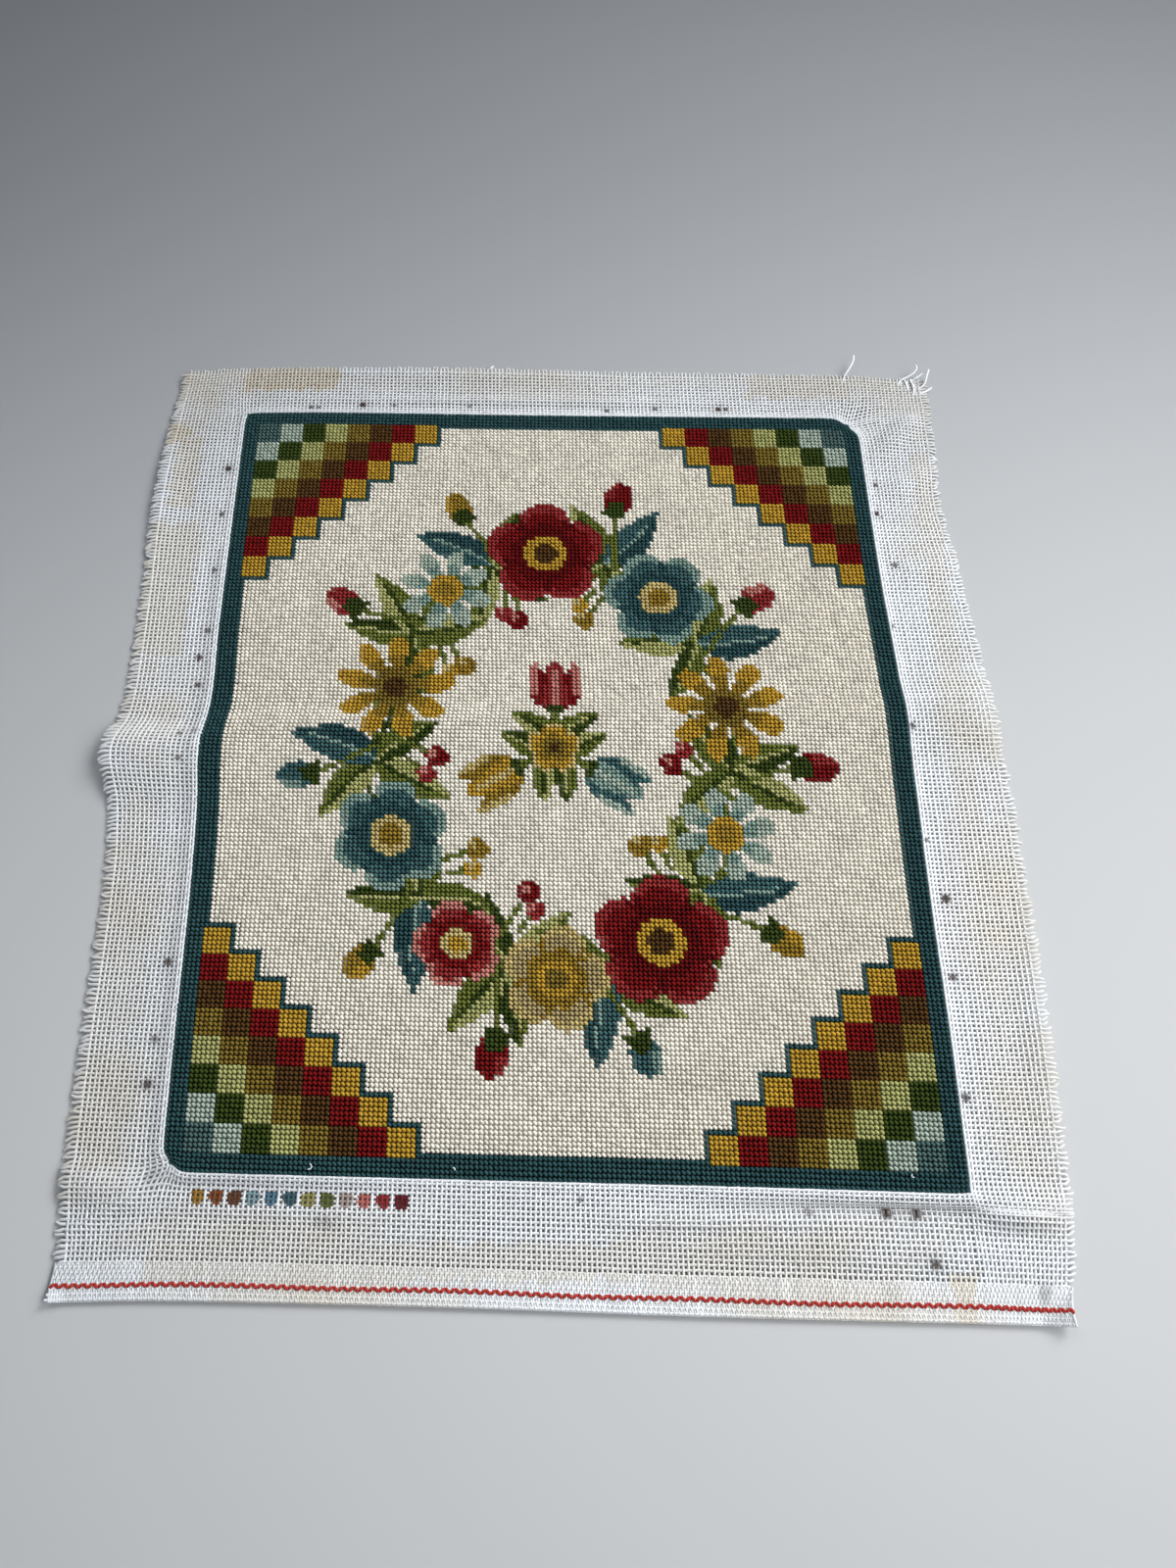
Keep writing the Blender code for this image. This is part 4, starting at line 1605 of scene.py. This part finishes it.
    def fold(self, columns: np.ndarray, rows: np.ndarray) -> tuple[np.ndarray, np.ndarray]:
        """Press the rows together in the fold that runs below the right half of the worked field.

        Args:
            columns: Counts across.
            rows: Counts up.

        Returns:
            How many counts the cloth loses to the fold by then, and how tightly it is pressed, from 0 to 1.
        """
        start, stop = self.fold_columns
        share = eased((columns - start) / (stop - start))
        taken = eased((self.fold_row + self.fold_reach - rows) / (2 * self.fold_reach))
        bare = MARGIN_BOTTOM - SELVEDGE
        given_back = np.clip((rows + bare) / (self.fold_row + bare), 0, 1)
        pressed = np.exp(-(((rows - self.fold_row) / self.fold_reach) ** 2))
        pressed = pressed * np.clip((FIELD_COLUMNS + 8 - columns) / 10, 0.2, 1)
        return self.fold_depth * share * taken * given_back, share * pressed

    def strand(
        self, strands: Strands, columns: np.ndarray, rows: np.ndarray, above: np.ndarray,
        full: np.ndarray | float, seed: int,
    ) -> None:
        """Add a thread that follows counted places, toned as the cotton is there, with painted shade in the
        fold.

        Args:
            strands: The set to add it to.
            columns: Counts across.
            rows: Counts up.
            above: Metres above the cloth's underside.
            full: Fullness of the thread, at each point or all along.
            seed: Seed of its tone's variation.
        """
        drawn_columns, drawn_rows = self.crowd(columns, rows)
        x, y = self.lay.place(drawn_columns, drawn_rows)
        points = self.lay.points(drawn_columns, drawn_rows, above)
        columns, rows = (np.broadcast_to(counts, len(x)) for counts in (columns, rows))
        pressed = self.fold(columns, rows)[1]
        # Pressed rows of the fold are darkened, which is painted shade in its crease; they are also made
        # thinner.
        dye = self.tones.at(x, y, columns, rows, seed) * (1 - 0.4 * pressed)[:, None]
        strands.add(points, full * (1 - 0.6 * pressed), dye)

    def lines(self, weft: bool) -> np.ndarray:
        """Counts of the bare canvas's threads that run one way.

        Args:
            weft: Whether the threads run up the cloth.

        Returns:
            The threads' own counts.
        """
        if weft:
            return np.arange(-MARGIN_LEFT + self.frayed, FIELD_COLUMNS + MARGIN_RIGHT - self.frayed) + 0.5
        return np.arange(-MARGIN_BOTTOM + SELVEDGE, FIELD_ROWS + MARGIN_TOP - self.frayed_top) + 0.5

    def spans(
        self, line: float, margins: tuple[int, int], field: int, across_field: int,
        ends: tuple[float, float],
    ) -> list[tuple[float, float]]:
        """Stretches over which one thread shows.

        Args:
            line: The thread's own count.
            margins: How many threads from the field's edges the cloth runs, before and after it.
            field: Count of the field along the thread.
            across_field: Count of the field across the thread.
            ends: Where the thread starts and stops, beyond the margins.

        Returns:
            Pairs of first and last count; a thread of the field tucks in under the wool.
        """
        start, stop = -margins[0] + ends[0], field + margins[1] - ends[1]
        if 0 < line < across_field:
            return [(start, self.tuck), (field - self.tuck, stop)]
        return [(start, stop)]

    def woven(self, weft: bool) -> Strands:
        """All threads that run one way, in the bare margins.

        Args:
            weft: Whether the threads run up the cloth.

        Returns:
            The threads' centre lines.
        """
        random = np.random.default_rng(5 if weft else 6)
        strands = Strands()
        if weft:
            layout = ((MARGIN_BOTTOM, MARGIN_TOP), FIELD_ROWS, FIELD_COLUMNS, (SELVEDGE, 0))
        else:
            layout = ((MARGIN_LEFT, MARGIN_RIGHT), FIELD_COLUMNS, FIELD_ROWS, (self.frayed, self.frayed))
        for line in self.lines(weft):
            for start, stop in self.spans(line, *layout):
                counts = np.arange(math.ceil(start), math.floor(stop)) + 0.5
                if counts[0] > start:
                    counts = np.concatenate([[start], counts])
                if counts[-1] < stop:
                    counts = np.concatenate([counts, [stop]])
                counts = self.tones.closer(counts, line, weft)
                noise = random.normal(0, self.wander * 2, len(counts) + 4)
                drift = np.convolve(noise, np.ones(5) / 5, "valid")
                drift += random.normal(0, self.wander, len(counts)) * 0.5
                aside, straight = line + drift, np.full_like(counts, line)
                columns, rows = (aside, counts) if weft else (counts, aside)
                above = self.heights(*((straight, counts) if weft else (counts, straight)), weft)
                full = random.normal(1, 0.06, len(counts)).clip(0.85, 1.15) * random.normal(1, 0.04)
                self.strand(strands, columns, rows, above, full, int(random.integers(1 << 30)))
        return strands

    def thread_piece(
        self, name: str, strands: Strands, width: float, depth: float, sides: int = 4
    ) -> bpy.types.Object:
        """Spin a set of centre lines into one piece of cotton thread.

        Args:
            name: Name of the piece.
            strands: The centre lines.
            width: Width of a full thread.
            depth: Its depth.
            sides: Sides of its section.

        Returns:
            The finished piece.
        """
        piece = self.looms.make(name, strands.mesh(name + " lines"), self.looms.threads, {
            "Width": width, "Depth": depth, "Sides": sides, "Finish": self.finish,
        })
        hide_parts("canvas")
        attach(piece, BODY)
        LOG.info("%s: %d threads", name, len(strands.points))
        return piece

    def selvedge(self) -> Strands:
        """The close-woven band along the bottom: fat ribs over thinner crossing threads.

        Returns:
            The threads' centre lines.
        """
        random = np.random.default_rng(7)
        strands = Strands()
        low, high = -MARGIN_BOTTOM, -MARGIN_BOTTOM + SELVEDGE

        def height(rows: np.ndarray) -> np.ndarray:
            """Middle height of the band, which rolls up towards its edge."""
            inwards = (low + self.rolled_rows - rows) / self.rolled_rows
            return self.raised + self.rolled * np.clip(inwards, 0, 1)

        left, right = -MARGIN_LEFT + 0.6, FIELD_COLUMNS + MARGIN_RIGHT - 0.6
        for order, line in enumerate(np.arange(left, right, self.rib_step)):
            rows = np.concatenate([[low + 0.08], np.arange(low, high) + 0.5, [high + 0.45]])
            over = (np.arange(len(rows)) + order) % 2
            above = height(rows) + np.where(over, self.rib_wave, -self.rib_wave)
            above[0] -= 0.0002
            lean = self.rib_lean * np.clip((low + 3.2 - rows) / 3.2, 0, 1)
            columns = line + lean + random.normal(0, 0.03, len(rows))
            full = random.normal(0.97, 0.05, len(rows)) * np.where(rows < low + 2.6, 0.92, 1.0)
            self.strand(strands, columns, rows, above, full, order)
            strands.dye[-1] = strands.dye[-1] * random.normal(0.95, 0.06)
        for order, row in enumerate(np.arange(low, high) + 0.5):
            columns = np.arange(left, right + 0.01, self.rib_step)
            rows = row + random.normal(0, 0.03, len(columns))
            self.strand(strands, columns, rows, height(row), 1.0, 900 + order)
        return strands

    def tracer(self) -> Strands:
        """The red thread that wanders in and out along the selvedge.

        Returns:
            Its centre line.
        """
        strands = Strands()
        steps, proud = 12, 0.0006
        period, swing, middle = 2.0, 0.36, -MARGIN_BOTTOM + 3.15
        columns = np.arange(-MARGIN_LEFT + 0.4, FIELD_COLUMNS + MARGIN_RIGHT - 0.4, period / steps)
        phase = 2 * math.pi * (columns - 0.1) / period
        wave = np.sin(phase)
        rows = middle + swing * wave + 0.12 * np.sin(columns * 0.13)
        above = self.raised + proud - proud * np.abs(wave) ** 3
        points = self.lay.points(columns, rows, above)
        tone = linear(self.tones.tracer) * (1 + 0.15 * np.sin(columns * 5.1))[:, None]
        strands.add(points, 1.0, tone)
        return strands

    def fringe(self) -> Strands:
        """Ends of the canvas threads along the raw left, right and top edges.

        Returns:
            The ends' centre lines.
        """
        random = np.random.default_rng(8)
        strands = Strands()
        rows = self.lines(weft=False)
        lean = np.convolve(random.normal(0, 1.6, len(rows) + 8), np.ones(9) / 9, "valid")
        steps = np.linspace(0, 1, 6)
        # Columns: side, first count, least and most length, drop at the end, spread of the drop, fullness
        combs = (
            (-1, -MARGIN_LEFT + self.frayed, 1.7, 2.3, 0.35, 0.30, 1.12),
            (1, FIELD_COLUMNS + MARGIN_RIGHT - self.frayed, 1.2, 2.1, -0.25, 0.30, 0.92),
        )
        for side, start, least, most, drop, spread, fullness in combs:
            for row, tilt in zip(rows, lean):
                reach = random.uniform(least, most)
                curl = tilt * 0.3 + random.normal(0, spread) - drop
                columns = start + side * (steps * reach - 0.5 * (steps == 0))
                bend = row + curl * steps**1.6 + 0.08 * np.sin(steps * 6 + row)
                above = self.raised - 0.0005 * steps**2 + 0.0002 * np.sin(steps * 3 + row * 1.7) * steps
                full = (1.0 - 0.3 * steps**3) * fullness * random.normal(1, 0.08)
                self.strand(strands, columns, bend, above, full, int(random.integers(1 << 30)))
        high = FIELD_ROWS + MARGIN_TOP - 0.4
        for column in self.lines(weft=True):
            rows_up = high + steps * random.uniform(0.1, 0.8)
            aside = column + random.normal(0, 0.35) * steps**1.5
            above = self.raised + 0.0003 * steps * random.random()
            full = (0.95 - 0.3 * steps) * random.normal(0.9, 0.08)
            self.strand(strands, aside, rows_up, above, full, int(random.integers(1 << 30)))
        return strands

    def tails(self) -> Strands:
        """The few long loose ends at the top edge and the upper right corner, and some flecks of lint.

        Returns:
            The ends' and flecks' centre lines.
        """
        strands = Strands()
        # Columns of each row: count across, count up, metres above the cloth
        tails = (
            ((162.0, 208.0, 0.0010), (162.5, 209.6, 0.0026), (163.7, 211.4, 0.0042), (165.1, 214.0, 0.0052),
             (165.6, 216.4, 0.0050)),
            ((177.5, 207.6, 0.0010), (178.6, 209.2, 0.0022), (180.8, 210.2, 0.0032), (182.4, 211.0, 0.0038),
             (183.2, 212.3, 0.0040), (182.9, 213.5, 0.0036)),
            ((180.4, 205.8, 0.0012), (180.0, 207.8, 0.0020), (179.6, 209.8, 0.0018)),
            ((181.8, 203.6, 0.0012), (181.9, 206.4, 0.0024), (181.3, 209.4, 0.0022)),
            ((181.0, 208.8, 0.0012), (183.0, 209.4, 0.0026), (184.8, 210.4, 0.0030)),
            ((183.0, 205.6, 0.0010), (185.0, 206.8, 0.0026), (185.8, 209.0, 0.0034),
             (186.6, 211.4, 0.0030)),
            ((183.0, 203.8, 0.0010), (185.2, 204.4, 0.0020), (187.2, 205.8, 0.0018)),
            ((66.5, 208.9, 0.0006), (66.2, 210.2, 0.0010), (67.0, 211.2, 0.0008)),
        )
        for tail in tails:
            knots = np.array(tail, float)
            at = np.linspace(0, len(knots) - 1, 4 * len(knots))
            points = self.lay.points(*(self.curve(knots[:, axis], at) for axis in range(3)))
            strands.add(points, 1.0 - 0.2 * at / at[-1], linear(self.tones.clean))
        lint_above, lint_full = 0.0033, 0.4
        # Columns: count across, count up, length in counts and turn in degrees of a fleck of lint
        for column, row, length, turn in (
            (31.0, 1.6, 1.6, 70), (8.5, 92.0, 1.1, 20), (152.4, 3.0, 0.9, -60), (60.2, 2.2, 0.8, 130),
        ):
            steps = np.linspace(-0.5, 0.5, 6)
            angle = math.radians(turn) + 1.6 * steps
            columns, rows = column + length * steps * np.cos(angle), row + length * steps * np.sin(angle)
            strands.add(self.lay.points(columns, rows, lint_above), lint_full, linear(self.tones.clean))
        return strands

    @staticmethod
    def curve(values: np.ndarray, at: np.ndarray) -> np.ndarray:
        """Read a smooth curve through evenly spaced values.

        Args:
            values: The values.
            at: Places to read at, in steps of the spacing.

        Returns:
            The curve's value at each place.
        """
        index = np.clip(at.astype(int), 0, len(values) - 2)
        t = at - index
        before, after = values[np.maximum(index - 1, 0)], values[np.minimum(index + 2, len(values) - 1)]
        here, there = values[index], values[index + 1]
        return 0.5 * (
            2 * here + (there - before) * t + (2 * before - 5 * here + 4 * there - after) * t**2
            + (3 * here - before - 3 * there + after) * t**3
        )

    def worked_sheet(self) -> bpy.types.Object:
        """The canvas under the wool, closed all round, with the back of the stitches below and painted
        shade on its top face.

        Returns:
            The finished piece.
        """
        across = np.arange(0, FIELD_COLUMNS + 1, self.cell).astype(float)
        up = np.arange(0, FIELD_ROWS + 1, self.cell).astype(float)
        for counts in (across, up):
            counts[[0, -1]] += (self.sheet_inset, -self.sheet_inset)
        wide, tall = len(across), len(up)
        rows, columns = np.meshgrid(up, across, indexing="ij")
        low = self.lay.points(columns.ravel(), rows.ravel(), self.sheet_low)
        high = self.lay.points(columns.ravel(), rows.ravel(), self.sheet_high)
        count = wide * tall
        faces, tones = [], []
        least, growing = self.painted_face_shade
        for j in range(tall - 1):
            for i in range(wide - 1):
                a = j * wide + i
                dye = WOOL_DYES[self.chart.wool[j * self.cell, i * self.cell]]
                faces.append((a, a + wide, a + wide + 1, a + 1))
                faces.append((count + a, count + a + 1, count + a + wide + 1, count + a + wide))
                # The high face shows only in the gaps between the stitches; its tone is the wool's,
                # darkened as painted shade.
                tones += [dye, dye * (least + growing * dye.mean())]
        ring = [(0, i) for i in range(wide)] + [(j, wide - 1) for j in range(1, tall)]
        ring += [(tall - 1, i) for i in range(wide - 2, -1, -1)] + [(j, 0) for j in range(tall - 2, 0, -1)]
        ring = [j * wide + i for j, i in ring]
        for a, b in zip(ring, ring[1:] + ring[:1]):
            faces.append((a, b, count + b, count + a))
            tones.append(WOOL_DYES[WOOLS.index(Wool.TEAL)] * 0.6)
        mesh = bpy.data.meshes.new("worked_canvas")
        mesh.from_pydata(np.concatenate([low, high]).tolist(), [], faces)
        put_attribute(mesh, "dye", np.repeat(np.array(tones), 4, axis=0), "CORNER")
        mesh.polygons.foreach_set("use_smooth", np.ones(len(faces), bool))
        mesh.update()
        layer = mesh.uv_layers.new(name="OFBake")
        flat = np.concatenate([low, high])[:, :2]
        unit = ((flat - flat.min(0)) / (flat.max(0) - flat.min(0)))[np.array(faces).ravel()]
        upper = np.repeat(np.array([min(face) >= count for face in faces]), 4)
        uv = unit * (0.98, 0.84) + (0.01, 0.01)
        uv[upper] = unit[upper] * (0.98, 0.12) + (0.01, 0.87)
        layer.data.foreach_set("uv", uv.astype(np.float32).ravel())
        piece = bpy.data.objects.new("worked_canvas", mesh)
        bpy.context.scene.collection.objects.link(piece)
        mesh.materials.append(YarnFinish("back of the wool", relief=0.6, grain=900.0).material())
        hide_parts("canvas")
        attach(piece, BODY)
        return piece

    def build(self) -> dict[str, bpy.types.Object]:
        """Make every piece of the canvas.

        Returns:
            The pieces, by a short name.
        """
        self.finish = YarnFinish("stiff cotton canvas", 0.9, 0.1, 0.25, 2600.0, 0.10).material()
        return {
            "sheet": self.worked_sheet(),
            "weft": self.thread_piece("canvas_weft", self.woven(weft=True), self.width, self.depth),
            "warp": self.thread_piece("canvas_warp", self.woven(weft=False), self.width, self.depth),
            "selvedge": self.thread_piece("selvedge", self.selvedge(), self.rib_width, self.rib_depth),
            "tracer": self.thread_piece("tracer_thread", self.tracer(), *self.tracer_size, 5),
            "fringe": self.thread_piece("frayed_edges", self.fringe(), *self.fringe_size),
            "tails": self.thread_piece("loose_threads", self.tails(), *self.tail_size, 6),
        }


@dataclass(frozen=True)
class Studio:
    """The floor, the light and the camera.

    Fields are the camera's place about the middle of the cloth, its right and upward directions, its lens
    and film, the floor's size, and the tone and strength of the light all round.
    """

    camera_place: tuple[float, float, float] = (0.02865, -0.25097, 0.540)
    camera_right: tuple[float, float, float] = (0.99986, 0.00310, -0.01620)
    camera_up: tuple[float, float, float] = (0.00375, 0.91330, 0.40740)
    lens: float = 27.0
    film: float = 36.0
    floor: float = 8.0
    air: tuple[float, float, float] = (0.84, 0.91, 1.0)
    air_strength: float = 0.17

    # Columns: name, place, size, spread in degrees, power, tone
    lamps = (
        ("window", (0.85, 0.62, 0.80), 0.7, 80, 3.9, (1.0, 0.99, 0.97)),
        ("side_window", (1.05, -0.35, 0.95), 0.9, 100, 4.85, (1.0, 0.985, 0.96)),
        ("far_window", (-0.35, 0.85, 1.10), 0.8, 80, 1.0, (0.97, 0.985, 1.0)),
    )

    def build(self, middle: np.ndarray) -> None:
        """Set the stage round the cloth.

        Args:
            middle: Shift from the middle of the cloth to the part's origin.
        """
        scene = bpy.context.scene
        half = self.floor / 2
        mesh = bpy.data.meshes.new("floor")
        corners = [(-half, -half, 0), (half, -half, 0), (half, half, 0), (-half, half, 0)]
        mesh.from_pydata(corners, [], [(0, 1, 2, 3)])
        mesh.materials.append(StageFinish().material())
        floor = bpy.data.objects.new("floor", mesh)
        scene.collection.objects.link(floor)
        world = bpy.data.worlds.new("soft room light")
        world.use_nodes = True
        graph = Graph(world.node_tree)
        air = graph.add(
            "ShaderNodeBackground", {}, {"Color": (*self.air, 1.0), "Strength": self.air_strength}
        )
        graph.add("ShaderNodeOutputWorld", {}, {"Surface": air.outputs[0]})
        scene.world = world
        for name, place, size, spread, power, tone in self.lamps:
            light = bpy.data.lights.new(name, "AREA")
            light.spread = math.radians(spread)
            light.size, light.energy, light.color = size, power, tone
            lamp = bpy.data.objects.new(name, light)
            lamp.location = place
            lamp.rotation_mode = "QUATERNION"
            lamp.rotation_quaternion = (-Vector(place)).to_track_quat("-Z", "Y")
            scene.collection.objects.link(lamp)
        right, up = Vector(self.camera_right).normalized(), Vector(self.camera_up).normalized()
        back = right.cross(up).normalized()
        turn = Matrix((right, up, back)).transposed()
        data = bpy.data.cameras.new("camera")
        data.lens, data.sensor_width, data.clip_start = self.lens, self.film, 0.01
        camera = bpy.data.objects.new("camera", data)
        place = Vector(self.camera_place) - Vector((middle[0], middle[1], 0))
        camera.matrix_world = Matrix.Translation(place) @ turn.to_4x4()
        scene.collection.objects.link(camera)
        scene.camera = camera
        scene.view_settings.view_transform = "Standard"
        scene.view_settings.look = "None"


def main() -> None:
    logging.basicConfig(level=logging.INFO, format="%(name)s: %(message)s")
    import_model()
    lay = Lay()
    Studio().build(lay.middle)
    chart = Chart()
    Garland().work(chart)
    chart.finish()
    looms = Looms()
    canvas = Canvas(lay, chart, looms, CottonTones()).build()
    stitching = Stitching(lay, chart, looms).build()
    sheet = canvas.pop("sheet")


if __name__ == "__main__":
    main()
